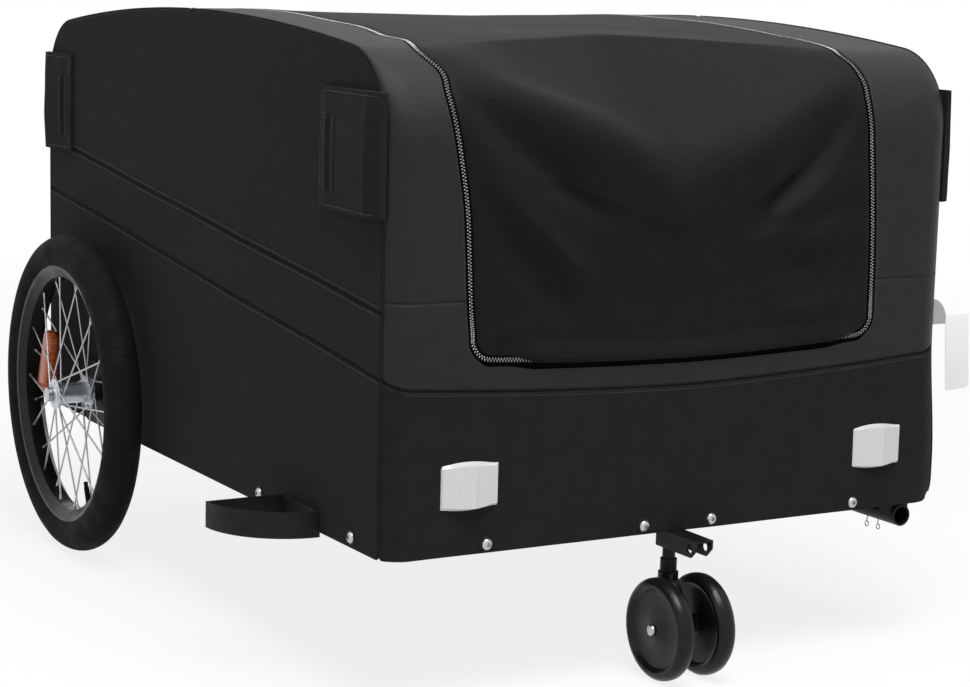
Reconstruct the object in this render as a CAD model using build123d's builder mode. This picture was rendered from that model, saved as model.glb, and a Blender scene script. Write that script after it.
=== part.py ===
"""Bicycle cargo trailer: fabric box on a tube frame, two spoked wheels and twin jockey wheels.

Millimetres, +Z up, floor at Z = 0. The tow end faces -Y and the port side is +X.
The origin lies on the floor in the middle of the whole length and width.
"""
import math
import os

from build123d import *

os.makedirs("parts", exist_ok=True)

# --- Driving dimensions -------------------------------------------------------------------
# Main wheels, 16 inch
wheel_diameter = 400.0
tyre_width = 47.0
tyre_seat_cut = 9.0
rim_depth = 15.0
rim_width = 32.0
spokes_per_flange = 14
spoke_diameter = 2.2
flange_spacing = 40.0
outer_flange_radius = 18.0
inner_flange_radius = 21.0
flange_thickness = 4.0
hub_barrel_radius = 13.0
hub_length = 54.0
axle_radius = 6.0
running_clearance = 0.05
wheel_gap = 38.0

# Fabric box: flat sides, with end faces that curve back to a seam at each upright corner
body_width = 700.0
body_length = 983.0
body_bottom = 157.0
body_top = 688.0
wall = 4.0
crown_radius = 3300.0
end_radius = 94.0
corner_setback = 16.0
corner_width = 30.0
lower_seam_front = 337.0
upper_seam_front = 403.0
seam_rise = 0.11
soft_clearance = 0.3

# Zipped cover
cover_width = 504.0
zip_gap = 5.0
hem_above_seam = 9.0
hinge_gap = 0.6
cover_fold_radius = 200.0

# Tubes
base_tube_radius = 10.0
base_tube_bend = 24.0
hoop_tube_radius = 9.0
hoop_bend = 62.0
front_bow_setback = 240.0
rear_bow_setback = 118.0
floor_thickness = 4.0

# How far the box reaches behind the axle, and where the first cross tube lies
rear_overhang = 199.0
cross_tube_setback = 330.0

# Jockey wheels
jockey_diameter = 110.0
jockey_width = 24.0
jockey_gap = 32.0
jockey_trail = 26.0
jockey_axle_radius = 4.0
stem_radius = 7.0
bushing_radius = 9.0
bushing_top = 124.0
bushing_bottom = 110.0
swivel_collar_radius = 11.0
swivel_collar_height = 7.5
spindle_radius = 4.0
spindle_length = 11.0
swivel_gap = 0.5
ear_thickness = 2.5
ear_reach = 50.0
ear_height = 19.0
ear_gap = 17.0
ear_hole_radius = 5.0

# Tow-arm socket under the port side
socket_outer_radius = 12.0
socket_bore_radius = 10.0
socket_length = 420.0
socket_inset = 44.0
socket_pin_setbacks = (40.0, 58.0)
socket_pin_radius = 3.0
socket_pin_length = 12.0
saddle_width = 24.0
saddle_length = 20.0

# Wheel guards
guard_reach = 90.0
guard_bottom = 152.0
guard_height = 28.0
guard_thickness = 3.0
guard_setback = 236.0

# Reflectors
reflector_width = 69.0
reflector_height = 47.0
reflector_depth = 7.0
reflector_centre_z = 228.0
reflector_offset = 258.0

# Corner sleeves: thin at the inner edge, standing out most at the fold beside the corner seam
sleeve_below_top = 67.0
sleeve_height = 125.0
sleeve_edge = 4.0
sleeve_fold = 11.0
front_sleeve_depth = 14.0
front_sleeve_length = 150.0
rear_sleeve_depth = 11.0
rear_sleeve_length = 106.0

# Axle plates
plate_width = 84.0
plate_height = 80.0
plate_thickness = 4.0
plate_boss_radius = 12.0
axle_cap_radius = 9.0
axle_cap_length = 5.5

# --- Values that follow from them ----------------------------------------------------------
wheel_radius = wheel_diameter / 2
rim_seat_radius = wheel_radius - tyre_width + tyre_seat_cut
jockey_radius = jockey_diameter / 2
sleeve_bottom = body_top - sleeve_below_top - sleeve_height
half_width = body_width / 2
half_cover = cover_width / 2
opening_x = half_cover + zip_gap
side_inner_x = half_width - wall
stem_setback = wall + soft_clearance + base_tube_radius
axle_setback = body_length - rear_overhang
front_reach = jockey_trail - stem_setback + jockey_radius
rear_reach = max(axle_setback + wheel_radius, body_length + reflector_depth)
front_y = front_reach - (front_reach + rear_reach) / 2
rear_y = front_y + body_length
middle_y = (front_y + rear_y) / 2
axle_y = front_y + axle_setback
wheel_x = half_width + wheel_gap
stem_y = front_y + stem_setback
rear_tube_y = rear_y - stem_setback
jockey_axle_y = stem_y - jockey_trail
hinge_y = rear_y - end_radius
base_tube_z = body_bottom + 1.0 + base_tube_radius
base_tube_bottom = base_tube_z - base_tube_radius
side_tube_x = half_width - stem_setback
floor_bottom = base_tube_z + base_tube_radius + soft_clearance
hoop_setback = stem_setback + base_tube_bend + 1.0
hoop_top_inset = wall + soft_clearance + hoop_tube_radius
cover_hem = lower_seam_front + hem_above_seam
front_panel_top = cover_hem - zip_gap
past_front = front_y - 20
past_rear = rear_y + 20
past_top = body_top + 20
PORT = 1
STARBOARD = -1
SIDES = (("port", PORT), ("starboard", STARBOARD))


def finish(solid, name):
    """Label a finished piece and write its STEP file."""
    solid.label = name
    export_step(solid, f"parts/{name}.step")


def seam_height(front_height, y):
    """Height of a side seam at y: both seams rise towards the rear."""
    return front_height + seam_rise * (y - front_y)


# --- Fabric box ----------------------------------------------------------------------------
def crown_height(y, inset=0.0):
    """Height of the arched top at y, or of a line that runs inset below it."""
    return body_top - crown_radius + math.sqrt((crown_radius - inset) ** 2 - (y - middle_y) ** 2)


def front_outline(end_inset, top_inset, bend):
    """Points of the front end's side view: foot, start of the shoulder bend, its middle and its end."""
    low = body_bottom - (1.0 if top_inset else 0.0)
    arch = crown_radius - top_inset
    arch_centre = body_top - crown_radius
    reach = middle_y - front_y - end_inset - bend
    bend_z = arch_centre + math.sqrt((arch - bend) ** 2 - reach ** 2)
    share = arch / (arch - bend)
    joint = (middle_y - reach * share, arch_centre + (bend_z - arch_centre) * share)
    turn = math.pi - math.atan2(bend_z - arch_centre, reach) / 2
    middle = (middle_y - reach + bend * math.cos(turn), bend_z + bend * math.sin(turn))
    return [(front_y + end_inset, low), (front_y + end_inset, bend_z), middle, joint]


def outline(end_inset, top_inset, front_bend, rear_bend):
    """Points of the box's side view from the front foot over the crown to the rear foot."""
    crown = (middle_y, body_top - top_inset)
    rear_half = [(2 * middle_y - y, z) for y, z in front_outline(end_inset, top_inset, rear_bend)]
    return front_outline(end_inset, top_inset, front_bend) + [crown] + rear_half[::-1]


def outline_edges(points):
    """The open line along those points; called inside a BuildLine."""
    Line(points[0], points[1])
    ThreePointArc(points[1], points[2], points[3])
    ThreePointArc(points[3], points[4], points[5])
    ThreePointArc(points[5], points[6], points[7])
    Line(points[7], points[8])


# Stations across the box: how far out, how far the end faces have curved back, the bend there.
flat_x = half_width - corner_width
stations = ((flat_x, 0.0, end_radius),
            (flat_x + 0.56 * corner_width, 0.27 * corner_setback, end_radius - 3.0),
            (half_width, corner_setback, end_radius - 10.0))


def envelope(inset):
    """The closed shape of the box, drawn in by inset."""
    outboard = [(x - inset, back + inset, bend - inset) for x, back, bend in stations]
    sections = [(-x, back, bend) for x, back, bend in reversed(outboard)] + outboard
    with BuildPart() as shape:
        for x, back, bend in sections:
            points = outline(back, inset, bend, bend)
            with BuildSketch(Plane.YZ.offset(x)):
                with BuildLine():
                    outline_edges(points)
                    Line(points[8], points[0])
                make_face()
        loft(ruled=True)
    return shape.part


with BuildPart() as shell:
    add(envelope(0))
    add(envelope(wall), mode=Mode.SUBTRACT)

below_box = [(past_front, body_bottom - 5), (past_rear, body_bottom - 5)]
above_box = [(past_front, past_top), (past_rear, past_top)]
lower_seam = [(y, seam_height(lower_seam_front, y)) for y in (past_front, past_rear)]
upper_seam = [(y, seam_height(upper_seam_front, y)) for y in (past_front, past_rear)]


def slab(near_x, far_x, *corners):
    """A block between two X values over an outline of (y, z) corners."""
    with BuildPart() as block:
        with BuildSketch(Plane.YZ.offset(min(near_x, far_x))):
            with BuildLine():
                Polyline(*corners, close=True)
            make_face()
        extrude(amount=abs(far_x - near_x))
    return block.part


def shell_piece(name, *blocks):
    """The stretch of the box's wall that lies in the given blocks."""
    with BuildPart() as cutter:
        for block in blocks:
            add(block)
    with BuildPart() as piece:
        add(shell.part)
        add(cutter.part, mode=Mode.INTERSECT)
    finish(piece.part, name)
    return piece.part


# Flat side panels, split along the two rising seams.
for side_name, side in SIDES:
    inner_x, outer_x = side * side_inner_x, side * (half_width + 5)
    shell_piece(f"side_lower_{side_name}", slab(inner_x, outer_x, *below_box, *reversed(lower_seam)))
    shell_piece(f"side_band_{side_name}", slab(inner_x, outer_x, *lower_seam, *reversed(upper_seam)))
    shell_piece(f"side_upper_{side_name}", slab(inner_x, outer_x, *upper_seam, *reversed(above_box)))
    # The strip between the side panel and the zip, up the front, over the top and down the rear.
    shell_piece(f"edge_strip_{side_name}",
                slab(side * opening_x, inner_x, *lower_seam, *reversed(above_box)))

front_half = [(past_front, body_bottom - 5), (middle_y, body_bottom - 5),
              (middle_y, seam_height(lower_seam_front, middle_y)), lower_seam[0]]
hem_strip = [(past_front, body_bottom - 5), (front_y + end_radius, body_bottom - 5),
             (front_y + end_radius, front_panel_top), (past_front, front_panel_top)]
rear_half = [(middle_y, body_bottom - 5), (past_rear, body_bottom - 5), lower_seam[1],
             (middle_y, seam_height(lower_seam_front, middle_y))]
above_rear_seam = [(hinge_y, seam_height(lower_seam_front, hinge_y)), lower_seam[1],
                   (past_rear, past_top), (hinge_y, past_top)]
shell_piece("front_panel", slab(-side_inner_x, side_inner_x, *front_half), slab(-opening_x, opening_x, *hem_strip))
shell_piece("rear_panel", slab(-side_inner_x, side_inner_x, *rear_half))
shell_piece("rear_upper_panel", slab(-opening_x, opening_x, *above_rear_seam))

# Zipped cover: hangs over the front opening and runs back over the top to its hinge seam. It is
# slack, so its front fold is widest in the middle and as tight as the strips' at the zips.
def cover_envelope(inset):
    """The closed shape between the zips with the slack front fold, drawn in by inset."""
    with BuildPart() as shape:
        for x, fold in ((-half_cover, end_radius), (0, cover_fold_radius), (half_cover, end_radius)):
            points = outline(inset, inset, fold - inset, end_radius - inset)
            with BuildSketch(Plane.YZ.offset(x)):
                with BuildLine():
                    outline_edges(points)
                    Line(points[8], points[0])
                make_face()
        loft(ruled=True)
    return shape.part


cover_end = hinge_y - hinge_gap
with BuildPart() as cover:
    add(cover_envelope(0))
    add(cover_envelope(wall), mode=Mode.SUBTRACT)
    add(slab(-half_cover, half_cover, (past_front, cover_hem), (cover_end, cover_hem),
             (cover_end, past_top), (past_front, past_top)), mode=Mode.INTERSECT)
finish(cover.part, "cover")

with BuildPart() as floor_panel:
    with BuildSketch(Plane.XY.offset(floor_bottom)):
        with Locations((0, middle_y)):
            inside = wall + soft_clearance
            RectangleRounded(body_width - 2 * inside, body_length - 2 * inside, base_tube_bend + base_tube_radius)
        legs = [(leg_x, leg_y) for leg_x in (-side_tube_x, side_tube_x)
                for leg_y in (front_y + hoop_setback, rear_y - hoop_setback)]
        with Locations(*legs):
            notch = hoop_tube_radius + soft_clearance
            Rectangle(2 * notch + 4, 2 * notch, mode=Mode.SUBTRACT)
    extrude(amount=floor_thickness)
finish(floor_panel.part, "floor_panel")


# --- Corner sleeves: fabric pads that stand proud of each side at its four corners ---------
def sleeve(name, side, corner_y, inward, depth, length):
    """One pad; inward is +1 at the front corner and -1 at the rear corner."""
    with BuildPart() as pad:
        with BuildSketch(Plane.XY.offset(sleeve_bottom)):
            with BuildLine():
                Polyline((side * half_width, corner_y + inward * (corner_setback + 1)),
                         (side * (half_width + depth), corner_y + inward * sleeve_fold),
                         (side * (half_width + sleeve_edge), corner_y + inward * length),
                         (side * half_width, corner_y + inward * length), close=True)
            make_face()
        extrude(amount=sleeve_height)
    finish(pad.part, name)


for side_name, side in SIDES:
    sleeve(f"sleeve_front_{side_name}", side, front_y, 1, front_sleeve_depth, front_sleeve_length)
    sleeve(f"sleeve_rear_{side_name}", side, rear_y, -1, rear_sleeve_depth, rear_sleeve_length)


# --- Tube frame ----------------------------------------------------------------------------
tube_straight_x = side_tube_x - base_tube_bend


def end_tube(name, tube_y, inward):
    """The front or rear base tube, bent round at both ends to meet the side tubes."""
    turn_y = tube_y + inward * base_tube_bend
    with BuildPart() as tube:
        with BuildLine() as path:
            RadiusArc((-side_tube_x, turn_y, base_tube_z), (-tube_straight_x, tube_y, base_tube_z),
                      -inward * base_tube_bend)
            Line((-tube_straight_x, tube_y, base_tube_z), (tube_straight_x, tube_y, base_tube_z))
            RadiusArc((tube_straight_x, tube_y, base_tube_z), (side_tube_x, turn_y, base_tube_z),
                      -inward * base_tube_bend)
        with BuildSketch(Plane(origin=path.line @ 0, z_dir=path.line % 0)):
            Circle(base_tube_radius)
        sweep()
    finish(tube.part, name)
    return tube.part


front_tube = end_tube("base_tube_front", stem_y, 1)
rear_tube = end_tube("base_tube_rear", rear_tube_y, -1)

side_tubes = {}
for side_name, side in SIDES:
    with BuildPart() as side_tube:
        with BuildSketch(Plane.XZ.offset(-(stem_y + base_tube_bend))):
            with Locations((side * side_tube_x, base_tube_z)):
                Circle(base_tube_radius)
        extrude(amount=-(rear_tube_y - stem_y - 2 * base_tube_bend))
    finish(side_tube.part, f"base_tube_{side_name}")
    side_tubes[side] = side_tube.part

with BuildPart() as floor_cross_tubes:
    for tube_y in (front_y + cross_tube_setback, axle_y):
        with BuildSketch(Plane.YZ.offset(-side_tube_x)):
            with Locations((tube_y, base_tube_z)):
                Circle(base_tube_radius)
        extrude(amount=2 * side_tube_x)
    add(side_tubes[PORT], mode=Mode.SUBTRACT)
    add(side_tubes[STARBOARD], mode=Mode.SUBTRACT)
finish(floor_cross_tubes.part, "floor_cross_tubes")

# Each side hoop stands on its side tube and follows the side panel's edge inside the cloth.
hoops = {}
for side_name, side in SIDES:
    hoop_points = outline(hoop_setback, hoop_top_inset, hoop_bend, hoop_bend)
    hoop_points[0] = (hoop_points[0][0], base_tube_z)
    hoop_points[8] = (hoop_points[8][0], base_tube_z)
    with BuildPart() as hoop:
        with BuildLine(Plane.YZ.offset(side * side_tube_x)) as hoop_path:
            outline_edges(hoop_points)
        with BuildSketch(Plane(origin=hoop_path.line @ 0, z_dir=hoop_path.line % 0)):
            Circle(hoop_tube_radius)
        sweep()
        add(side_tubes[side], mode=Mode.SUBTRACT)
        add(front_tube, mode=Mode.SUBTRACT)
        add(rear_tube, mode=Mode.SUBTRACT)
    finish(hoop.part, f"side_hoop_{side_name}")
    hoops[side] = hoop.part

# The bows cross from one hoop to the other, behind the cover's front fold and at its hinge seam.
for bow_name, bow_y in (("front", front_y + front_bow_setback), ("rear", rear_y - rear_bow_setback)):
    with BuildPart() as bow:
        with BuildSketch(Plane.YZ.offset(-side_tube_x)):
            with Locations((bow_y, crown_height(bow_y, hoop_top_inset))):
                Circle(hoop_tube_radius)
        extrude(amount=2 * side_tube_x)
        add(hoops[PORT], mode=Mode.SUBTRACT)
        add(hoops[STARBOARD], mode=Mode.SUBTRACT)
    finish(bow.part, f"top_bow_{bow_name}")

# --- Reflectors: two facets that meet at an upright ridge ----------------------------------
with BuildPart() as front_reflectors:
    for side_name, side in SIDES:
        with BuildSketch(Plane.XY.offset(reflector_centre_z - reflector_height / 2)):
            with BuildLine():
                left = side * reflector_offset - reflector_width / 2
                right = side * reflector_offset + reflector_width / 2
                Polyline((left, front_y), (right, front_y), (right, front_y - reflector_depth / 2),
                         ((left + right) / 2, front_y - reflector_depth),
                         (left, front_y - reflector_depth / 2), close=True)
            make_face()
        extrude(amount=reflector_height)
finish(front_reflectors.part, "reflectors_front")

with BuildPart() as rear_reflectors:
    for side_name, side in SIDES:
        with BuildSketch(Plane.XY.offset(reflector_centre_z - reflector_height / 2)):
            with BuildLine():
                left = side * reflector_offset - reflector_width / 2
                right = side * reflector_offset + reflector_width / 2
                Polyline((left, rear_y), (right, rear_y), (right, rear_y + reflector_depth / 2),
                         ((left + right) / 2, rear_y + reflector_depth),
                         (left, rear_y + reflector_depth / 2), close=True)
            make_face()
        extrude(amount=reflector_height)
finish(rear_reflectors.part, "reflectors_rear")

# --- Wheel guards: a flat bar bent to a quarter ring ahead of each wheel --------------------
guard_y = front_y + guard_setback
for side_name, side in SIDES:
    corner = (side * half_width, guard_y)
    inner_radius = guard_reach - guard_thickness
    with BuildPart() as guard:
        with BuildSketch(Plane.XY.offset(guard_bottom)):
            with BuildLine():
                Line(corner, (side * (half_width + guard_reach), guard_y))
                RadiusArc((side * (half_width + guard_reach), guard_y),
                          (side * half_width, guard_y - guard_reach), side * guard_reach)
                Line((side * half_width, guard_y - guard_reach), corner)
            make_face()
            with BuildLine():
                near_x = side * (half_width + guard_thickness)
                near_y = guard_y - guard_thickness
                far = math.sqrt(inner_radius ** 2 - guard_thickness ** 2)
                Line((near_x, near_y), (side * (half_width + far), near_y))
                RadiusArc((side * (half_width + far), near_y), (near_x, guard_y - far), side * inner_radius)
                Line((near_x, guard_y - far), (near_x, near_y))
            make_face(mode=Mode.SUBTRACT)
        extrude(amount=guard_height)
    finish(guard.part, f"wheel_guard_{side_name}")

# --- Main wheels ---------------------------------------------------------------------------
tyre_section_radius = tyre_width / 2
tyre_ring_radius = wheel_radius - tyre_section_radius
rim_inner_radius = rim_seat_radius - rim_depth
half_rim = rim_width / 2
half_hub = hub_length / 2
half_flange = flange_thickness / 2
flange_x = flange_spacing / 2
hub_bore_radius = axle_radius + running_clearance
spoke_pitch = 360 / spokes_per_flange
spoke_bite = 0.3
spoke_side_offset = half_flange + spoke_diameter / 2 - spoke_bite


def turned(side, *outline):
    """A ring turned about the axle from (outboard, radius) points."""
    section = Plane(origin=(side * wheel_x, axle_y, wheel_radius), x_dir=(side, 0, 0), z_dir=(0, -side, 0))
    with BuildPart() as ring:
        with BuildSketch(section):
            with BuildLine():
                Polyline(*outline, close=True)
            make_face()
        revolve(axis=Axis((0, axle_y, wheel_radius), (1, 0, 0)))
    return ring.part


def spoke_ends(side, flange, number):
    """The hub end and the rim end of one spoke: crossed lacing, neighbours on opposite flange faces."""
    leading = 1 if number % 2 == 0 else -1
    hub_reach = (outer_flange_radius if flange > 0 else inner_flange_radius) - 3
    rim_reach = rim_inner_radius + 2
    hub_angle = math.radians(spoke_pitch * number + (0 if flange > 0 else spoke_pitch / 2))
    rim_angle = hub_angle + leading * math.radians(2 * spoke_pitch)
    hub_out = flange * (flange_x + leading * spoke_side_offset)
    rim_out = flange * 3.0
    hub_end = (side * (wheel_x + hub_out), axle_y + hub_reach * math.cos(hub_angle),
               wheel_radius + hub_reach * math.sin(hub_angle))
    rim_end = (side * (wheel_x + rim_out), axle_y + rim_reach * math.cos(rim_angle),
               wheel_radius + rim_reach * math.sin(rim_angle))
    return hub_end, rim_end


# Orange reflector clipped among the outer spokes, behind and above the hub.
spoke_reflector_radius = 85.0
spoke_reflector_angle = 20.0
spoke_reflector_length = 88.0
spoke_reflector_width = 30.0
spoke_reflector_depth = 19.0

for side_name, side in SIDES:
    with BuildPart() as tyre:
        centre_plane = Plane(origin=(side * wheel_x, axle_y, wheel_radius), x_dir=(side, 0, 0), z_dir=(0, -side, 0))
        with BuildSketch(centre_plane):
            with Locations((0, tyre_ring_radius)):
                Circle(tyre_section_radius)
            with Locations((0, rim_seat_radius - tyre_section_radius)):
                Rectangle(2 * tyre_width, 2 * tyre_section_radius, mode=Mode.SUBTRACT)
        revolve(axis=Axis((0, axle_y, wheel_radius), (1, 0, 0)))
    finish(tyre.part, f"tyre_{side_name}")

    rim = turned(side, (-half_rim, rim_seat_radius), (-half_rim, rim_seat_radius - 6), (-half_rim + 7, rim_inner_radius),
                 (half_rim - 7, rim_inner_radius), (half_rim, rim_seat_radius - 6), (half_rim, rim_seat_radius))
    finish(rim, f"rim_{side_name}")

    hub = turned(side, (-half_hub, hub_bore_radius), (-half_hub, 12), (-flange_x - half_flange, 12),
                 (-flange_x - half_flange, inner_flange_radius), (-flange_x + half_flange, inner_flange_radius),
                 (-flange_x + half_flange, hub_barrel_radius), (flange_x - half_flange, hub_barrel_radius),
                 (flange_x - half_flange, outer_flange_radius), (flange_x + half_flange, outer_flange_radius),
                 (flange_x + half_flange, 11), (half_hub, 11), (half_hub, hub_bore_radius))
    finish(hub, f"hub_{side_name}")

    with BuildPart() as spokes:
        for flange in (1, -1):
            for number in range(spokes_per_flange):
                hub_end, rim_end = spoke_ends(side, flange, number)
                along = [rim - hub for hub, rim in zip(hub_end, rim_end)]
                with BuildSketch(Plane(origin=hub_end, z_dir=tuple(along))):
                    Circle(spoke_diameter / 2)
                extrude(amount=math.dist(hub_end, rim_end))
    finish(spokes.part, f"spokes_{side_name}")

    with BuildPart() as spoke_reflector:
        inner_face = Plane(origin=(wheel_x * side - spoke_reflector_depth / 2, axle_y, wheel_radius),
                           x_dir=(0, 1, 0), z_dir=(1, 0, 0))
        with BuildSketch(inner_face):
            with PolarLocations(spoke_reflector_radius, 1, start_angle=spoke_reflector_angle):
                RectangleRounded(spoke_reflector_width, spoke_reflector_length, 6)
        extrude(amount=spoke_reflector_depth)
    finish(spoke_reflector.part, f"spoke_reflector_{side_name}")

    # The axle plate on the side of the box, with a boss that faces the hub.
    plate_face = half_width + plate_thickness
    boss_face = wheel_x - half_hub - swivel_gap
    with BuildPart() as axle_plate:
        with BuildSketch(Plane.YZ.offset(side * half_width)):
            with Locations((axle_y, body_bottom + plate_height / 2)):
                RectangleRounded(plate_width, plate_height, 10)
        extrude(amount=side * plate_thickness)
        with BuildSketch(Plane.YZ.offset(side * plate_face)):
            with Locations((axle_y, wheel_radius)):
                Circle(plate_boss_radius)
        extrude(amount=side * (boss_face - plate_face))
        with BuildSketch(Plane.YZ.offset(side * half_width)):
            with Locations((axle_y, wheel_radius)):
                Circle(axle_radius)
        extrude(amount=side * (boss_face - half_width), mode=Mode.SUBTRACT)
    finish(axle_plate.part, f"axle_plate_{side_name}")

    with BuildPart() as axle:
        with BuildSketch(Plane.YZ.offset(side * half_width)):
            with Locations((axle_y, wheel_radius)):
                Circle(axle_radius)
        cap_face = wheel_x + half_hub + swivel_gap
        extrude(amount=side * (cap_face - half_width))
        with BuildSketch(Plane.YZ.offset(side * cap_face)):
            with Locations((axle_y, wheel_radius)):
                Circle(axle_cap_radius)
        extrude(amount=side * axle_cap_length)
    finish(axle.part, f"axle_{side_name}")

# --- Tow-arm socket: an open tube under the port side --------------------------------------
socket_x = half_width - socket_inset
socket_z = base_tube_bottom - 2.0 - socket_outer_radius
with BuildPart() as tow_socket:
    with BuildSketch(Plane.XZ.offset(-front_y)):
        with Locations((socket_x, socket_z)):
            Circle(socket_outer_radius)
    extrude(amount=-socket_length)
    for saddle_y in (stem_y, front_y + cross_tube_setback):
        with BuildSketch(Plane.XY.offset(socket_z)):
            with Locations((socket_x, saddle_y)):
                Rectangle(saddle_width, saddle_length)
        extrude(amount=base_tube_z - socket_z)
    with BuildSketch(Plane.XZ.offset(-front_y)):
        with Locations((socket_x, socket_z)):
            Circle(socket_bore_radius)
    extrude(amount=-socket_length, mode=Mode.SUBTRACT)
    add(front_tube, mode=Mode.SUBTRACT)
    add(floor_cross_tubes.part, mode=Mode.SUBTRACT)
finish(tow_socket.part, "tow_socket")

with BuildPart() as tow_pins:
    with BuildSketch(Plane.XY.offset(socket_z - socket_outer_radius - socket_pin_length)):
        with Locations(*[(socket_x, front_y + setback) for setback in socket_pin_setbacks]):
            Circle(socket_pin_radius)
    extrude(amount=socket_outer_radius + socket_pin_length)
    with BuildSketch(Plane.XZ.offset(-front_y)):
        with Locations((socket_x, socket_z)):
            Circle(socket_outer_radius)
    extrude(amount=-socket_length, mode=Mode.SUBTRACT)
finish(tow_pins.part, "tow_pins")

# --- Jockey bracket and stem under the middle of the front tube ----------------------------
bracket_top = body_bottom - swivel_gap
ear_bottom = bracket_top - ear_height
half_bracket = ear_gap / 2 + ear_thickness
bracket_front = front_y - ear_reach
bracket_rear = stem_y + stem_radius + ear_thickness
with BuildPart() as jockey_bracket:
    with BuildSketch(Plane.YZ.offset(-half_bracket)):
        with BuildLine():
            Polyline((bracket_front, bracket_top), (bracket_rear, bracket_top), (bracket_rear, ear_bottom),
                     (bracket_front + ear_height / 2, ear_bottom), (bracket_front, ear_bottom + ear_height / 2),
                     close=True)
        make_face()
        with Locations((bracket_front + 12, ear_bottom + ear_height / 2)):
            Circle(ear_hole_radius, mode=Mode.SUBTRACT)
    extrude(amount=2 * half_bracket)
    with BuildSketch(Plane.YZ.offset(-ear_gap / 2)):
        with Locations(((bracket_front + bracket_rear) / 2, (ear_bottom + bracket_top) / 2 - ear_thickness)):
            Rectangle(bracket_rear - bracket_front + 2, ear_height)
    extrude(amount=ear_gap, mode=Mode.SUBTRACT)
    with BuildSketch(Plane.XY.offset(bracket_top)):
        with Locations((0, stem_y)):
            Rectangle(2 * half_bracket, saddle_length)
    extrude(amount=base_tube_z - bracket_top)
    add(front_tube, mode=Mode.SUBTRACT)
finish(jockey_bracket.part, "jockey_bracket")

with BuildPart() as jockey_stem:
    with BuildSketch(Plane.XY.offset(bushing_bottom)):
        with Locations((0, stem_y)):
            Circle(bushing_radius)
    extrude(amount=bushing_top - bushing_bottom)
    with BuildSketch(Plane.XY.offset(bushing_top)):
        with Locations((0, stem_y)):
            Circle(stem_radius)
    extrude(amount=bracket_top - ear_thickness - bushing_top)
    with BuildSketch(Plane.XY.offset(bushing_bottom)):
        with Locations((0, stem_y)):
            Circle(spindle_radius + running_clearance)
    extrude(amount=spindle_length + 1, mode=Mode.SUBTRACT)
finish(jockey_stem.part, "jockey_stem")

# --- Jockey yoke: swivels under the stem and carries the twin wheels ahead of it -----------
collar_top = bushing_bottom - swivel_gap
collar_bottom = collar_top - swivel_collar_height
half_arm = jockey_gap / 4
axle_boss_radius = 11.0
with BuildPart() as jockey_yoke:
    with BuildSketch(Plane.YZ.offset(-half_arm)):
        with BuildLine():
            Polyline((stem_y - 9, collar_bottom), (stem_y + 9, collar_bottom),
                     (jockey_axle_y + axle_boss_radius, jockey_radius),
                     (jockey_axle_y - axle_boss_radius, jockey_radius), close=True)
        make_face()
        with Locations((jockey_axle_y, jockey_radius)):
            Circle(axle_boss_radius)
    extrude(amount=2 * half_arm)
    with BuildSketch(Plane.XY.offset(collar_bottom)):
        with Locations((0, stem_y)):
            Circle(swivel_collar_radius)
    extrude(amount=swivel_collar_height)
    with BuildSketch(Plane.XY.offset(collar_top)):
        with Locations((0, stem_y)):
            Circle(spindle_radius)
    extrude(amount=spindle_length)
    with BuildSketch(Plane.YZ.offset(-half_arm)):
        with Locations((jockey_axle_y, jockey_radius)):
            Circle(jockey_axle_radius + running_clearance)
    extrude(amount=2 * half_arm, mode=Mode.SUBTRACT)
finish(jockey_yoke.part, "jockey_yoke")

jockey_inner = jockey_gap / 2
jockey_outer = jockey_inner + jockey_width
jockey_boss = half_arm + swivel_gap
jockey_web_out = jockey_outer - 4
with BuildPart() as jockey_axle:
    with BuildSketch(Plane.YZ.offset(-jockey_web_out)):
        with Locations((jockey_axle_y, jockey_radius)):
            Circle(jockey_axle_radius)
    extrude(amount=2 * jockey_web_out)
    for side_name, side in SIDES:
        with BuildSketch(Plane.YZ.offset(side * jockey_web_out)):
            with Locations((jockey_axle_y, jockey_radius)):
                Circle(jockey_axle_radius + 3)
        extrude(amount=side * 4.0)
finish(jockey_axle.part, "jockey_axle")

for side_name, side in SIDES:
    axis_plane = Plane(origin=(0, jockey_axle_y, jockey_radius), x_dir=(side, 0, 0), z_dir=(0, -side, 0))
    with BuildPart() as jockey_wheel:
        with BuildSketch(axis_plane):
            with BuildLine():
                Polyline((jockey_boss, jockey_axle_radius), (jockey_boss, 0.18 * jockey_radius),
                         (jockey_inner + 4, 0.25 * jockey_radius), (jockey_inner + 4, 0.7 * jockey_radius),
                         (jockey_inner, 0.78 * jockey_radius), (jockey_inner, 0.87 * jockey_radius),
                         (jockey_inner + 3, 0.955 * jockey_radius), (jockey_inner + 8, jockey_radius),
                         (jockey_outer - 8, jockey_radius), (jockey_outer - 3, 0.955 * jockey_radius),
                         (jockey_outer, 0.87 * jockey_radius), (jockey_outer, 0.78 * jockey_radius),
                         (jockey_web_out, 0.7 * jockey_radius), (jockey_web_out, jockey_axle_radius), close=True)
            make_face()
        revolve(axis=Axis((0, jockey_axle_y, jockey_radius), (1, 0, 0)))
    finish(jockey_wheel.part, f"jockey_wheel_{side_name}")
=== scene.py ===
# %% [markdown]
# # Bicycle cargo trailer
# A box of heavy polyester cloth is stretched over a frame of bent tube, on two spoked wheels, with a pair
# of small jockey wheels under the tow end. This lesson dresses the CAD model: the rigid parts that are
# already right keep their solids and get real finishes, and the cloth, pads, zip, tyres and small
# hardware are modelled as new pieces that stand in the same places.

# %% Set-up
import math

import bpy
from mathutils import Matrix, Vector, noise


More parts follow.
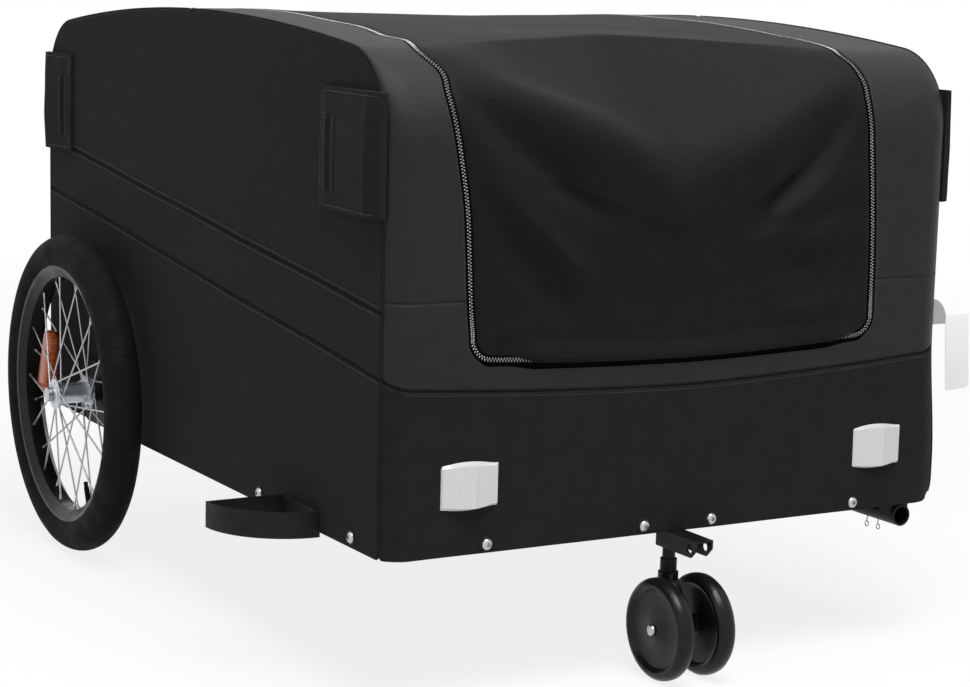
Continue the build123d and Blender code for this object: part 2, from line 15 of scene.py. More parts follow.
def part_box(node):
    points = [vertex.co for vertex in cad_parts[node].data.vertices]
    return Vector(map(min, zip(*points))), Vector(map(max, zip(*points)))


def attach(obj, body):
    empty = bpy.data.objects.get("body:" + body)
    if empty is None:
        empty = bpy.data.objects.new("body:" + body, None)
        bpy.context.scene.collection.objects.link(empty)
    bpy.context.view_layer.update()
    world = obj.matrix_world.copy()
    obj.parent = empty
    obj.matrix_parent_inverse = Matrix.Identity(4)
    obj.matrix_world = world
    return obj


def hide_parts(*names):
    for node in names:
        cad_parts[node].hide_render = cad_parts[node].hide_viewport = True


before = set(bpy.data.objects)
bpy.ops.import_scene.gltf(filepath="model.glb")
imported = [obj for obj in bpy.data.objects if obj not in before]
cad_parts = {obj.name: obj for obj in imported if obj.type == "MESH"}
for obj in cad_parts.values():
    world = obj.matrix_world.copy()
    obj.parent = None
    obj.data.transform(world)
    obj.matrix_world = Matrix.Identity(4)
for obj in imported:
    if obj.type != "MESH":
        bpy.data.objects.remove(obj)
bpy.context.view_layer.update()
MM = 0.001
SIDES = (("port", 1), ("starboard", -1))

# %% [markdown]
# ## Where things are
# Every place comes from the boxes of the CAD nodes, so the new pieces fit without any trial and error.
# The only sizes written here are the ones a box can't show: how the corners are rounded, and how the two
# seams of each side rise to the rear.

# %% Places read from the frame
FRONT_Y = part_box("front_panel")[0].y
REAR_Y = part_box("rear_panel")[1].y
BOTTOM_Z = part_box("front_panel")[0].z
TOP_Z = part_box("cover")[1].z
HALF_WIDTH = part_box("side_lower_port")[1].x
HEM_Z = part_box("cover")[0].z
HINGE_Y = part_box("rear_upper_panel")[0].y
AXLE_Y = (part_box("tyre_port")[0].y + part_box("tyre_port")[1].y) / 2
WHEEL_X = (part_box("tyre_port")[0].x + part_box("tyre_port")[1].x) / 2
WHEEL_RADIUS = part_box("tyre_port")[1].z / 2
# The solids leave a 5 mm gap along the zip, so its middle line runs half of that past the cover.
HALF_CAD_GAP = 2.5 * MM
ZIP_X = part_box("cover")[1].x + HALF_CAD_GAP
MID_Y = (FRONT_Y + REAR_Y) / 2
HALF_LENGTH = (REAR_Y - FRONT_Y) / 2
CROWN_RADIUS = 3300 * MM
CROWN_Z = TOP_Z - CROWN_RADIUS
END_RADIUS = 94 * MM
FLAT_X = HALF_WIDTH - 30 * MM
CORNER_SETBACK = 16 * MM
LOWER_SEAM_Z = 337 * MM
UPPER_SEAM_Z = 403 * MM
SEAM_RISE = 0.11


def seam_z(front_z, y):
    """Height of a side seam at y: the seams rise towards the rear."""
    return front_z + SEAM_RISE * (y - FRONT_Y)


print("cloth box", round(2 * HALF_WIDTH, 3), "by", round(2 * HALF_LENGTH, 3), "m")

# %% [markdown]
# ## One helper for nodes, one for colours
# A material in Blender is a small graph. This helper adds one node, sets its values and links its inputs.
# Colours are written as the hex codes a painter would pick, which are sRGB, so one function turns them
# into the linear values that the shader computes with.

# %% Helpers for materials
def colour(code):
    """An sRGB hex colour as linear red, green, blue and alpha."""
    parts = [int(code[i:i + 2], 16) / 255 for i in (1, 3, 5)]
    return (*[p / 12.92 if p <= 0.04045 else ((p + 0.055) / 1.055) ** 2.4 for p in parts], 1.0)


def node(owner, kind, inputs, **settings):
    """Add one node to a material or world: inputs are values or outputs, settings are its own properties."""
    made = owner.node_tree.nodes.new(kind)
    for name, value in settings.items():
        setattr(made, name, value)
    for name, value in inputs.items():
        if isinstance(value, bpy.types.NodeSocket):
            owner.node_tree.links.new(value, made.inputs[name])
        else:
            made.inputs[name].default_value = value
    return made


def start(name, **values):
    """A new material, with the given values on its Principled shader and its Object coordinates."""
    material = bpy.data.materials.new(name)
    material.use_nodes = True
    shader = material.node_tree.nodes["Principled BSDF"]
    for socket, value in values.items():
        shader.inputs[socket.replace("_", " ")].default_value = value
    place = node(material, "ShaderNodeTexCoord", {}).outputs["Object"]
    return material, shader, place


def two_tones(material, factor, low, high):
    """A colour that runs from one tone to another: low and high are (position, hex colour)."""
    tones = node(material, "ShaderNodeValToRGB", {"Fac": factor})
    for stop, (position, code) in zip(tones.color_ramp.elements, (low, high)):
        stop.color = colour(code)
        stop.position = position
    return tones.outputs["Color"]


print("an sRGB mid grey is", round(colour("#808080")[0], 3), "in linear light")

# %% [markdown]
# ## Polyester cloth
# The box is sewn from 600-denier polyester, coated on the inside. Its threads are about 0.5 mm apart,
# which is too fine to show with the whole trailer in view, so the weave is drawn at 1.5 mm. Cloth
# scatters light softly, so roughness is high, and its fibre ends give a faint sheen at grazing angles.

# %% Cloth materials
THREAD_PITCH = 1.5 * MM
# Blender's bands run through 20 radians a unit, so this many units make one thread's width.
WEAVE_SCALE = 2 * math.pi / (20 * THREAD_PITCH)


def cloth(name, dark, light, mottle_mm, roughness, sheen, gloss):
    """Woven polyester: two close tones in soft patches, and a weave that is crossed sine waves."""
    made, shader, place = start(name, Roughness=roughness, Sheen_Weight=sheen, Sheen_Roughness=0.5,
                                Specular_IOR_Level=gloss)
    patches = node(made, "ShaderNodeTexNoise",
                   {"Vector": place, "Scale": 1 / (mottle_mm * MM), "Detail": 4.0, "Roughness": 0.6})
    tone = two_tones(made, patches.outputs["Fac"], (0.3, dark), (0.7, light))
    made.node_tree.links.new(tone, shader.inputs["Base Color"])
    waves_of = [node(made, "ShaderNodeTexWave", {"Vector": place, "Scale": WEAVE_SCALE, "Distortion": 0.0},
                     wave_type="BANDS", bands_direction=direction, wave_profile="SIN").outputs["Fac"]
                for direction in "XYZ"]
    height = waves_of[0]
    for wave in waves_of[1:]:
        height = node(made, "ShaderNodeMath", {0: height, 1: wave}, operation="ADD").outputs[0]
    bump = node(made, "ShaderNodeBump", {"Height": height, "Strength": 0.35, "Distance": 0.15 * MM})
    made.node_tree.links.new(bump.outputs["Normal"], shader.inputs["Normal"])
    return made


# Plain weave on the box and the pads: a matt charcoal that catches little light.
box_cloth = cloth("woven_polyester_box", "#1E1E1E", "#232323", 18, 0.8, 0.02, 0.05)
pad_cloth = cloth("woven_polyester_pad", "#1D1D1D", "#232323", 12, 0.8, 0.02, 0.05)
# A tighter weave, pulled taut over the hoops: it has a soft gleam on the shoulders.
strip_cloth = cloth("woven_polyester_strip", "#181818", "#1E1E1E", 18, 0.6, 0.03, 0.2)
# Coated on the outer face too: nearly black, with broad dull lights on its folds.
cover_cloth = cloth("coated_polyester_cover", "#0E0E0E", "#131313", 14, 0.65, 0.02, 0.09)
# Herringbone tape lies deep in the gap beside the teeth, and it reads as a black line. Its near-black, darker
# than any of the cloth, is painted shade: it stands for the shade in the gaps beside the teeth and under the
# hem.
zip_tape_painted_shade = cloth("woven_zip_tape_painted_shade", "#040404", "#070707", 6, 0.85, 0.0, 0.03)
print("cloth materials:", [m.name for m in bpy.data.materials if "poly" in m.name or "tape" in m.name])

# %% [markdown]
# ## Plastics, rubber and metals
# The frame is powder-coated steel, the tow socket is painted steel and the rims are black anodised
# aluminium. Spokes are stainless wire, bolts are zinc-plated, and the tyres are carbon-black rubber. Bare
# metals have Metallic near 1, and what sets them apart is their tint and how rough their surface is.

# %% Rigid materials
def rigid(name, base, roughness, metallic=0.0, grain_mm=0.6, rise=0.1, spread=0.12, **more):
    """A moulded, coated or machined surface: fine grain in its height and patchy roughness."""
    made, shader, place = start(name, Base_Color=colour(base), Metallic=metallic, **more)
    grain = node(made, "ShaderNodeTexNoise", {"Vector": place, "Scale": 1 / (grain_mm * MM), "Detail": 3.0})
    smears = node(made, "ShaderNodeTexNoise", {"Vector": place, "Scale": 1 / (25 * MM), "Detail": 3.0})
    rough = node(made, "ShaderNodeMapRange",
                 {"Value": smears.outputs["Fac"], "From Min": 0.3, "From Max": 0.7,
                  "To Min": max(0.02, roughness - spread), "To Max": roughness + spread})
    bump = node(made, "ShaderNodeBump",
                {"Height": grain.outputs["Fac"], "Strength": rise, "Distance": 0.1 * MM})
    made.node_tree.links.new(rough.outputs["Result"], shader.inputs["Roughness"])
    made.node_tree.links.new(bump.outputs["Normal"], shader.inputs["Normal"])
    return made


# Baked powder flows into a faint orange peel: satin black with a pebbled highlight.
powder_coat = rigid("black_powder_coat", "#141414", 0.45, grain_mm=1.2, rise=0.25, Specular_IOR_Level=0.25)
# A pressed board with a coarse moulded grain: dull, because little light gets into the box.
board = rigid("moulded_floor_board", "#1A1A1A", 0.6, grain_mm=1.5, rise=0.4)
# Injection-moulded from an etched mould: an even, waxy black.
guard_plastic = rigid("black_polypropylene", "#121212", 0.55, grain_mm=0.8, rise=0.2, Specular_IOR_Level=0.2)
# Sprayed enamel over drawn tube: smoother than powder, with a narrow streak of light.
socket_paint = rigid("black_painted_steel", "#101010", 0.4, Specular_IOR_Level=0.15)
# Plated in a barrel: a bright, slightly cool grey that isn't quite a mirror.
zinc = rigid("zinc_plated_steel", "#B9BCC0", 0.3, metallic=1.0)
# Cured carbon-black rubber: the mattest black of all, as fine dust clings to it.
rubber = rigid("tyre_rubber", "#131313", 0.8, grain_mm=1.0, rise=0.3, Specular_IOR_Level=0.1)
# Rolled, then anodised black: metal under a dark oxide, so its lights are grey.
rim_finish = rigid("black_anodised_aluminium", "#17181A", 0.35, metallic=0.6)
# Drawn wire: thin bright lines against the dark tyre.
spoke_finish = rigid("stainless_steel_wire", "#B4B6B8", 0.35, metallic=0.9)
# Turned and polished: a blue-white metal with clear edges of light.
hub_finish = rigid("polished_aluminium", "#C3CAD2", 0.3, metallic=0.85)
# Moulded in a polished mould: a deep black with small, sharp lights.
jockey_finish = rigid("glossy_black_nylon", "#131313", 0.28, spread=0.06, Specular_IOR_Level=0.2)
print("cloth and rigid materials:", len(bpy.data.materials))

# %% [markdown]
# ## Reflector lenses
# A reflector is clear, tinted acrylic over rows of moulded prisms, each of which sends light back. The
# prisms give it a faint grid under a smooth, glossy skin, painted into its colour: lighter middles, a painted
# reflection of the light each prism sends back, and darker borders, painted shade. Real prisms are about 2 mm
# wide. Here they are 3.5 mm, because finer ones wouldn't show.

# %% Lens materials
PRISM_WIDTH = 3.5 * MM


def lens(name, border, middle, through):
    """Acrylic over square prisms: the border's colour, painted shade, between them and the middle's, painted
    reflection, on each.
    through is the axis that runs through the lens, 0 for X or 1 for Y; the rows ignore it."""
    made, shader, place = start(name, Roughness=0.2, Specular_IOR_Level=0.4)
    rows = [1 / PRISM_WIDTH] * 3
    rows[through] = 0.0
    flat = node(made, "ShaderNodeMapping", {"Vector": place, "Scale": rows}).outputs["Vector"]
    prisms = node(made, "ShaderNodeTexVoronoi", {"Vector": flat, "Scale": 1.0, "Randomness": 0.0},
                  distance="CHEBYCHEV").outputs["Distance"]
    tint = two_tones(made, prisms, (0.3, middle), (0.5, border))
    bump = node(made, "ShaderNodeBump", {"Height": prisms, "Strength": 0.06, "Distance": 0.3 * MM})
    made.node_tree.links.new(tint, shader.inputs["Base Color"])
    made.node_tree.links.new(bump.outputs["Normal"], shader.inputs["Normal"])
    return made


# Clear acrylic reads as pale grey by daylight, and tinted acrylic as a deep, even colour.
white_lens = lens("white_reflector_acrylic", "#CACACA", "#D4D4D4", 1)
red_lens = lens("red_reflector_acrylic", "#640C0C", "#9A1818", 1)
# The orange lens's borders are darker still: they also paint the shadows of the spokes across it.
orange_lens = lens("orange_reflector_acrylic", "#8A3818", "#D46C38", 0)
# A darker copy of the red acrylic for the spoke reflector's back: the extra darkness is painted shade on its
# inner side.
spoke_back_lens_painted_shade = lens("dark_red_spoke_acrylic_painted_shade", "#4E0A0A", "#8A1414", 0)
print("materials so far:", len(bpy.data.materials))

# %% [markdown]
# ## Finishes for the CAD parts that stay
# Tubes, hubs, rims and spokes already have the right shape. Each keeps its mesh and takes the material
# that the longest matching start of its name picks. The cloth's solids get one too, although new cloth
# will stand for them.

# %% Dress the CAD parts
FINISHES = {
    "base_tube": powder_coat, "side_hoop": powder_coat, "top_bow": powder_coat, "floor_cross": powder_coat,
    "floor_panel": board, "wheel_guard": guard_plastic, "axle_plate": powder_coat, "axle_port": zinc,
    "axle_starboard": zinc, "hub": hub_finish, "rim": rim_finish, "spokes": spoke_finish, "tyre": rubber,
    "spoke_reflector": orange_lens, "reflectors_front": white_lens, "reflectors_rear": red_lens,
    "tow_socket": socket_paint, "tow_pins": zinc, "jockey_bracket": socket_paint, "jockey_stem": socket_paint,
    "jockey_yoke": jockey_finish, "jockey_axle": zinc, "jockey_wheel": jockey_finish,
    "side_": box_cloth, "front_panel": box_cloth, "rear_": box_cloth, "edge_strip": strip_cloth,
    "cover": cover_cloth, "sleeve": pad_cloth,
}
longest_first = sorted(FINISHES, key=len, reverse=True)
for name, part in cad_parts.items():
    finish = FINISHES[next(begins for begins in longest_first if name.startswith(begins))]
    part.data.materials.clear()
    part.data.materials.append(finish)
print("CAD nodes dressed:", len(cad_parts))

# %% [markdown]
# ## Helpers for modelling
# Operators act on whatever is selected, so each step starts from nothing selected. A finished piece
# rides on one body of the trailer, and the CAD nodes that it stands for are hidden.

# %% Helpers for modelling
def only(piece):
    """Select this piece and nothing else."""
    bpy.ops.object.select_all(action="DESELECT")
    piece.select_set(True)
    bpy.context.view_layer.objects.active = piece


def apply(piece, kind, **settings):
    """Add one modifier to a piece and apply it."""
    only(piece)
    bpy.ops.object.modifier_add(type=kind)
    modifier = piece.modifiers[-1]
    for name, value in settings.items():
        setattr(modifier, name, value)
    bpy.ops.object.modifier_apply(modifier=modifier.name)


def join(pieces):
    """Several objects made one, on the first of them."""
    only(pieces[0])
    for piece in pieces:
        piece.select_set(True)
    bpy.ops.object.join()
    return bpy.context.object


def close_back(piece):
    """Fill the open rim of a shell with one face, so it becomes a solid body."""
    only(piece)
    bpy.ops.object.mode_set(mode="EDIT")
    bpy.ops.mesh.select_all(action="DESELECT")
    bpy.ops.mesh.select_non_manifold()
    bpy.ops.mesh.edge_face_add()
    bpy.ops.object.mode_set(mode="OBJECT")


def settle(piece, name, body, finish, slot=None, stands_for=(), angle=40):
    """Name a piece, put its place into its mesh, shade it, and let it ride on its body."""
    only(piece)
    bpy.ops.object.transform_apply(location=True, rotation=True, scale=True)
    bpy.ops.object.shade_smooth_by_angle(angle=math.radians(angle))
    piece.name = name
    piece.data.name = name
    piece.data.materials.clear()
    piece.data.materials.append(finish)
    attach(piece, body)
    if stands_for:
        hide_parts(*stands_for)
    return piece


# %% [markdown]
# ## The shape the cloth is stretched over
# Seen from the side the box has upright ends, two rounded shoulders and a long shallow arch. Across the
# box that outline is the same everywhere except in the last 30 mm, where it curves back to a seam. So any
# point of the cloth is known from two numbers: x across the box, and the distance w along the outline,
# measured from the front foot up over the top to the rear foot.

# %% The outline's lengths
CORNER_SHARPNESS = 2.26
CORNER_TIGHTENS = 10 * MM


def smooth(low, high, value):
    """0 below low, 1 above high, and a smooth ramp between them."""
    share = min(max((value - low) / (high - low), 0.0), 1.0)
    return share * share * (3 - 2 * share)


def corner(x, droop=0.0):
    """Set-back, shoulder radius, its centre, and where the arch begins, for the outline at x."""
    share = min(max((abs(x) - FLAT_X) / (HALF_WIDTH - FLAT_X), 0.0), 1.0)
    back = CORNER_SETBACK * share ** CORNER_SHARPNESS
    bend = END_RADIUS - CORNER_TIGHTENS * share ** 2 + droop
    reach = HALF_LENGTH - back - bend
    bend_z = CROWN_Z + math.sqrt((CROWN_RADIUS - bend) ** 2 - reach ** 2)
    lean = math.atan2(reach, bend_z - CROWN_Z)
    return back, bend, reach, bend_z, lean


_, BEND_0, _, BEND_Z_0, LEAN_0 = corner(0.0)
UPRIGHT = BEND_Z_0 - BOTTOM_Z
SHOULDER = BEND_0 * (math.pi / 2 - LEAN_0)
ARCH = 2 * CROWN_RADIUS * LEAN_0
AROUND = 2 * (UPRIGHT + SHOULDER) + ARCH
HEM_W = HEM_Z - HALF_CAD_GAP - BOTTOM_Z
HINGE_LEAN = math.asin((HINGE_Y - MID_Y) / CROWN_RADIUS)
HINGE_W = UPRIGHT + SHOULDER + CROWN_RADIUS * (LEAN_0 + HINGE_LEAN)
print("upright", round(UPRIGHT, 4), "shoulder", round(SHOULDER, 4), "all round", round(AROUND, 4))

# %% [markdown]
# The cover is slack, so its front shoulder isn't a round one: the cloth rises upright over a knee, and
# then slopes straight to the crown. That shape is mixed in where the cover droops most. From the outline
# a second function gets the direction that faces out, as the cross product of two short steps.

# %% A point on the outline
COVER_DROOP = 106 * MM
SLACK_FROM = 45 * MM
# The knee as (back, up) on a shoulder of radius 1: in the middle, and how far it has moved at the edges.
KNEE, KNEE_MOVES = (0.03, 0.30), (0.22, 0.35)
# The bend at the knee is softened by an average over points this far along on both sides.
KNEE_SOFTENING = (-0.12, -0.06, 0.0, 0.06, 0.12)


def slack_shoulder(share, lean, spread):
    """A slack shoulder of radius 1 as (back, up): upright first, then a straight slope up to the crown.
    spread is 0 in the middle of the cover and 1 at its edges, where the bend comes later and is soft."""
    knee = (KNEE[0] + KNEE_MOVES[0] * spread ** 2, KNEE[1] + KNEE_MOVES[1] * spread)
    end = (1 - math.sin(lean), math.cos(lean))
    first = math.hypot(*knee)
    second = math.hypot(end[0] - knee[0], end[1] - knee[1])
    total = [0.0, 0.0]
    for nudge in KNEE_SOFTENING:
        shifted = share + nudge * smooth(0, 0.15, share) * smooth(1, 0.85, share)
        run = min(max(shifted, 0.0), 1.0) * (first + second)
        a, b, part = ((0.0, 0.0), knee, run / first) if run < first else (knee, end, (run - first) / second)
        total = [total[i] + (a[i] + (b[i] - a[i]) * part) / len(KNEE_SOFTENING) for i in (0, 1)]
    return total


def buck(x, w, droop=0.0):
    """The point at x, a distance w along the outline; droop widens the front shoulder and slackens it."""
    if w > AROUND / 2 and not droop:
        mirrored = buck(x, AROUND - w)
        return Vector((x, 2 * MID_Y - mirrored.y, mirrored.z))
    back, bend, reach, bend_z, lean = corner(x, droop)
    if w <= UPRIGHT:
        share = max(w - HEM_W, 0.0) / (UPRIGHT - HEM_W)
        lift = (bend_z - BEND_Z_0) * (share if droop else share ** 2)
        return Vector((x, FRONT_Y + back, BOTTOM_Z + w + lift))
    if w <= UPRIGHT + SHOULDER:
        turn = math.pi - (math.pi / 2 - lean) * (w - UPRIGHT) / SHOULDER
        back_1, up_1 = 1 + math.cos(turn), math.sin(turn)
        slack = smooth(0, SLACK_FROM, droop)
        if slack:
            back_2, up_2 = slack_shoulder((w - UPRIGHT) / SHOULDER, lean, 1 - droop / COVER_DROOP)
            back_1, up_1 = back_1 + (back_2 - back_1) * slack, up_1 + (up_2 - up_1) * slack
        return Vector((x, MID_Y - reach - bend + bend * back_1, bend_z + bend * up_1))
    share = (w - UPRIGHT - SHOULDER) / (HINGE_W - UPRIGHT - SHOULDER)
    turn = math.pi / 2 + lean - (lean + HINGE_LEAN) * share
    return Vector((x, MID_Y + CROWN_RADIUS * math.cos(turn), CROWN_Z + CROWN_RADIUS * math.sin(turn)))


def outward(x, w, droop=None):
    """The direction that faces away from the box at that point."""
    droop = droop or (lambda x: 0.0)
    step = 1.0 * MM
    side = 1 if x < 0 else -1
    along = buck(x, w + step, droop(x)) - buck(x, w - step, droop(x))
    across = buck(x + side * step, w, droop(x + side * step)) - buck(x, w, droop(x))
    return (across * side).cross(along).normalized()


print("top of the arch at", [round(v, 4) for v in buck(0.0, AROUND / 2)])

# %% [markdown]
# ## Slack in the cloth
# The strips at the sides are pulled tight over the hoops. The cover hangs looser: in the middle it droops
# well inside the shoulder, and it lies in broad folds that run from its upper corners to the centre. One
# function says how far the cloth stands off the buck. Neighbouring pieces share it at their edges, so they
# stay together.

# %% Folds
def fold(x, w, start, end, width, rise):
    """A fold along the line from start to end, rising by rise and fading out at both ends."""
    ax, aw = start
    bx, bw = end
    run = (bx - ax) ** 2 + (bw - aw) ** 2
    share = ((x - ax) * (bx - ax) + (w - aw) * (bw - aw)) / run
    off = (x - ax) * (bw - aw) - (w - aw) * (bx - ax)
    fade = smooth(-0.15, 0.25, share) * (1 - smooth(0.7, 1.2, share))
    return rise * fade * math.exp(-off * off / run / width ** 2)


# Start, end, half-width and rise of each fold of the cover, in metres on the buck.
COVER_FOLDS = (
    ((-0.262, 0.480), (-0.010, 0.436), 0.022, 0.009),
    ((-0.268, 0.452), (-0.110, 0.395), 0.020, -0.015),
    ((-0.258, 0.400), (-0.125, 0.303), 0.020, 0.010),
    ((-0.252, 0.350), (-0.130, 0.245), 0.020, -0.007),
    ((0.240, 0.488), (0.080, 0.430), 0.024, 0.008),
    ((0.230, 0.450), (0.100, 0.380), 0.018, -0.013),
    ((0.236, 0.409), (0.095, 0.340), 0.020, 0.010),
    ((0.240, 0.347), (0.100, 0.360), 0.013, -0.006),
    ((0.240, 0.320), (0.130, 0.323), 0.013, 0.006),
    ((0.240, 0.294), (0.120, 0.292), 0.013, -0.006),
    ((0.240, 0.237), (0.120, 0.237), 0.016, 0.007),
    ((-0.255, 0.212), (-0.190, 0.238), 0.010, 0.006),
)
# Where the droop ends to port and to starboard, and how blunt it is in the middle.
DROOP_EDGES = (0.230, 0.264)
DROOP_BLUNTNESS = 0.08


def droop(x):
    """How much wider the cover's front shoulder is in the middle than at the zips."""
    return COVER_DROOP * (1 - min(math.hypot(x / DROOP_EDGES[x < 0], DROOP_BLUNTNESS), 1.0))


print(len(COVER_FOLDS), "folds; the cover droops", round(droop(0.0) * 1000), "mm in the middle")

# %% [markdown]
# Two skins come out of this: the tight one, for the panels and strips, and the slack one, for the cover.
# Both take a lift, so stitches, tapes and turned edges can lie a little above or below them.

# %% Skins
WAVE_RISE, WAVES_PER_METRE = 1.6 * MM, 9
# Across the box, waves fade between these, and the hem's arc between the next two.
WAVES_FADE = (0.30, 0.345)
HEM_FADES = (0.268, 0.30)
# The hem's rise in the middle, how much more it rises towards its corners, and how far out that is.
HEM_MIDDLE_RISE, HEM_CORNER_RISE, HEM_CORNER_X = 2 * MM, 8 * MM, 0.21
# The rise sets in over this far below the hem, and fades between these distances above it.
HEM_BELOW, HEM_ABOVE = 18 * MM, (10 * MM, 62 * MM)


def waves(x, w):
    """Faint waves over all of the cloth, none at the corner seams."""
    tight = 1 - smooth(*WAVES_FADE, abs(x))
    return noise.noise(Vector((x * WAVES_PER_METRE, w * WAVES_PER_METRE, 3.0))) * WAVE_RISE * tight


def hemmed(x, w):
    """The distance w, moved up near the hem, because the hem hangs in a slight arc between its corners."""
    rise = HEM_MIDDLE_RISE + HEM_CORNER_RISE * min(abs(x) / HEM_CORNER_X, 1.25) ** 1.6
    fades_from, fades_to = [HEM_W + above for above in HEM_ABOVE]
    near = min(smooth(HEM_W - HEM_BELOW, HEM_W, w), 1 - smooth(fades_from, fades_to, w))
    return w + rise * near * (1 - smooth(*HEM_FADES, abs(x)))


def skin(x, w, lift=0.0):
    """A point of the tight cloth, raised by lift."""
    w = hemmed(x, w)
    return buck(x, w) + outward(x, w) * (waves(x, w) + lift)


def within(w, rising, falling):
    """1 between two stretches of the outline: it rises smoothly over one and falls over the other."""
    return smooth(*rising, w) * (1 - smooth(*falling, w))


# Depth of the two hollows in the slack cover, and the stretches of the outline where each comes and goes.
FRONT_HOLLOW = (5 * MM, (0.20, 0.30), (0.38, 0.44))
REAR_SAG = (4 * MM, (0.55, 0.68), (1.2, 1.35))
HOLLOW_HALF_WIDTH = 0.25


def cover_skin(x, w, lift=0.0):
    """A point of the slack cover, raised by lift."""
    inner = max(0.0, 1 - (x / (zip_x(1 if x > 0 else -1, w) - 6 * MM)) ** 4)
    w = hemmed(x, w)
    hem = smooth(HEM_W, HEM_W + 0.03, w)
    middle = max(0.0, 1 - (x / HOLLOW_HALF_WIDTH) ** 2)
    hollow, rear_sag = [-depth * middle * within(w, comes, goes)
                        for depth, comes, goes in (FRONT_HOLLOW, REAR_SAG)]
    folds = sum(fold(x, w, *each) for each in COVER_FOLDS)
    raised = waves(x, w) + (hollow + folds) * inner * hem + rear_sag + lift
    return buck(x, w, droop(x)) + outward(x, w, droop) * raised


# %% [markdown]
# ## Laying a piece of cloth
# Each piece of cloth starts as a flat grid, as it would come off the roll. Its points are laid where the
# pattern says, and Solidify gives it the thickness of the cloth, inwards from the outer face.

# %% Cloth helpers
CLOTH = 1.2 * MM


def between(values, share):
    """The value at share (0 to 1) along a list of (share, value) stops."""
    for (s0, v0), (s1, v1) in zip(values, values[1:]):
        if share <= s1 + 1e-9:
            return v0 + (v1 - v0) * (share - s0) / (s1 - s0)
    return values[-1][1]


def lay(columns, rows, place, thickness=CLOTH, facing=None):
    """A grid whose points are laid at place(across, along), both from 0 to 1, with its face outwards."""
    bpy.ops.object.select_all(action="DESELECT")
    bpy.ops.mesh.primitive_grid_add(x_subdivisions=columns, y_subdivisions=rows, size=2)
    piece = bpy.context.object
    for vertex in piece.data.vertices:
        vertex.co = place((vertex.co.x + 1) / 2, (vertex.co.y + 1) / 2)
    middle = facing or Vector((0, MID_Y, (BOTTOM_Z + TOP_Z) / 2))
    facing_out = sum(p.area * p.normal.dot(p.center - middle) for p in piece.data.polygons)
    if facing_out < 0:
        bpy.ops.object.mode_set(mode="EDIT")
        bpy.ops.mesh.select_all(action="SELECT")
        bpy.ops.mesh.flip_normals()
        bpy.ops.object.mode_set(mode="OBJECT")
    if thickness:
        apply(piece, "SOLIDIFY", thickness=thickness, offset=-1.0)
    return piece


def stretched(piece, name, slot, stands_for, flat, finish=box_cloth, **more):
    """Settle a piece of cloth that the frame holds taut, and say how large it is when flat."""
    settle(piece, name, "trailer", finish, slot, stands_for)
    print(name, "flat", flat, "m,", len(piece.data.polygons), "faces")


# %% [markdown]
# ## Seams
# Where two pieces are sewn, both edges turn in, and the seam shows as a narrow valley. A piece's outer two
# rows of faces lie within 3 mm of its edge, so the grid has points where it has to bend. Next to a corner's
# piping the edge turns in less.

# %% Seam helpers
SEAM_DEPTH = 2.6 * MM
SEAM_REACH = 3.2 * MM
PIPED_DEPTH = 1.6 * MM
FOOT_RADIUS = {1: 15 * MM, -1: 4 * MM}


def gather(share, cells, length, rim=3.0 * MM):
    """Even grid shares, moved so that two rows at each end lie within rim of the edge."""
    edge = rim / length
    return between([(0, 0), (2 / cells, edge), (1 - 2 / cells, 1 - edge), (1, 1)], share)


def roll(distance, depth=SEAM_DEPTH):
    """How far a sewn edge is pulled in, at this distance from it."""
    return depth * (1 - smooth(0, SEAM_REACH, distance))


def foot(side, off):
    """Height of the box's lower edge, off from the upright seam: its bottom corners are rounded."""
    radius = FOOT_RADIUS[side]
    return radius - math.sqrt(radius ** 2 - max(radius - off, 0.0) ** 2)


print("a seam is", SEAM_DEPTH / MM, "mm deep and", 2 * SEAM_REACH / MM, "mm wide")

# %% [markdown]
# ## Side panels
# Each side is three pieces of cloth, joined along two seams that rise to the rear. The hoop inside holds
# them nearly flat. A raised welt runs above the upper seam, and on the port side the lower cloth is slack
# beside the front corner and hangs out a few millimetres.

# %% The form of a side
SIDE_FRONT_Y = FRONT_Y + CORNER_SETBACK
SIDE_REAR_Y = REAR_Y - CORNER_SETBACK
SIDE_WAVE_RISE = 2.2 * MM
# The slack beside the port front corner: how far it hangs out at the foot and just above it, the heights
# between which it fades, and the distances behind the front between which it does.
BELLY_LOW, BELLY_HIGH = 6 * MM, 10 * MM
BELLY_HEIGHTS, BELLY_LENGTHS = (0.35, 0.20), (0.14, 0.03)
WELT_RISE, WELT_OFF, WELT_WIDTH = 0.9 * MM, 8 * MM, 1.5 * MM


def side_slack(y, z, seed):
    """Faint waves in a side panel, none at its edges."""
    rim = smooth(0, 0.06, y - SIDE_FRONT_Y) * smooth(0, 0.06, SIDE_REAR_Y - y) * smooth(0, 0.05, z - BOTTOM_Z)
    top = smooth(0, 0.07, TOP_Z - z)
    return rim * top * noise.noise(Vector((y * 5, z * 7, seed))) * SIDE_WAVE_RISE


def belly(side, y, z):
    """How far the lower cloth hangs out beside the front corner; only the port side is slack there."""
    if side < 0:
        return 0.0
    hang = BELLY_LOW + (BELLY_HIGH - BELLY_LOW) * smooth(BOTTOM_Z, BOTTOM_Z + 0.02, z)
    return hang * smooth(*BELLY_HEIGHTS, z) * smooth(*[FRONT_Y + length for length in BELLY_LENGTHS], y)


def side_out(side, y, z):
    """How far a side's cloth stands off the box's side plane."""
    return side_slack(y, z, side * 4.0) + belly(side, y, z)


print("side cloth from y", round(SIDE_FRONT_Y, 4), "to", round(SIDE_REAR_Y, 4))

# %% Side panels
SIDE_COLUMNS = 90
SHOULDER_STOPS = [(0.0, UPRIGHT), (0.2, UPRIGHT + SHOULDER), (0.8, AROUND - UPRIGHT - SHOULDER),
                  (1.0, AROUND - UPRIGHT)]


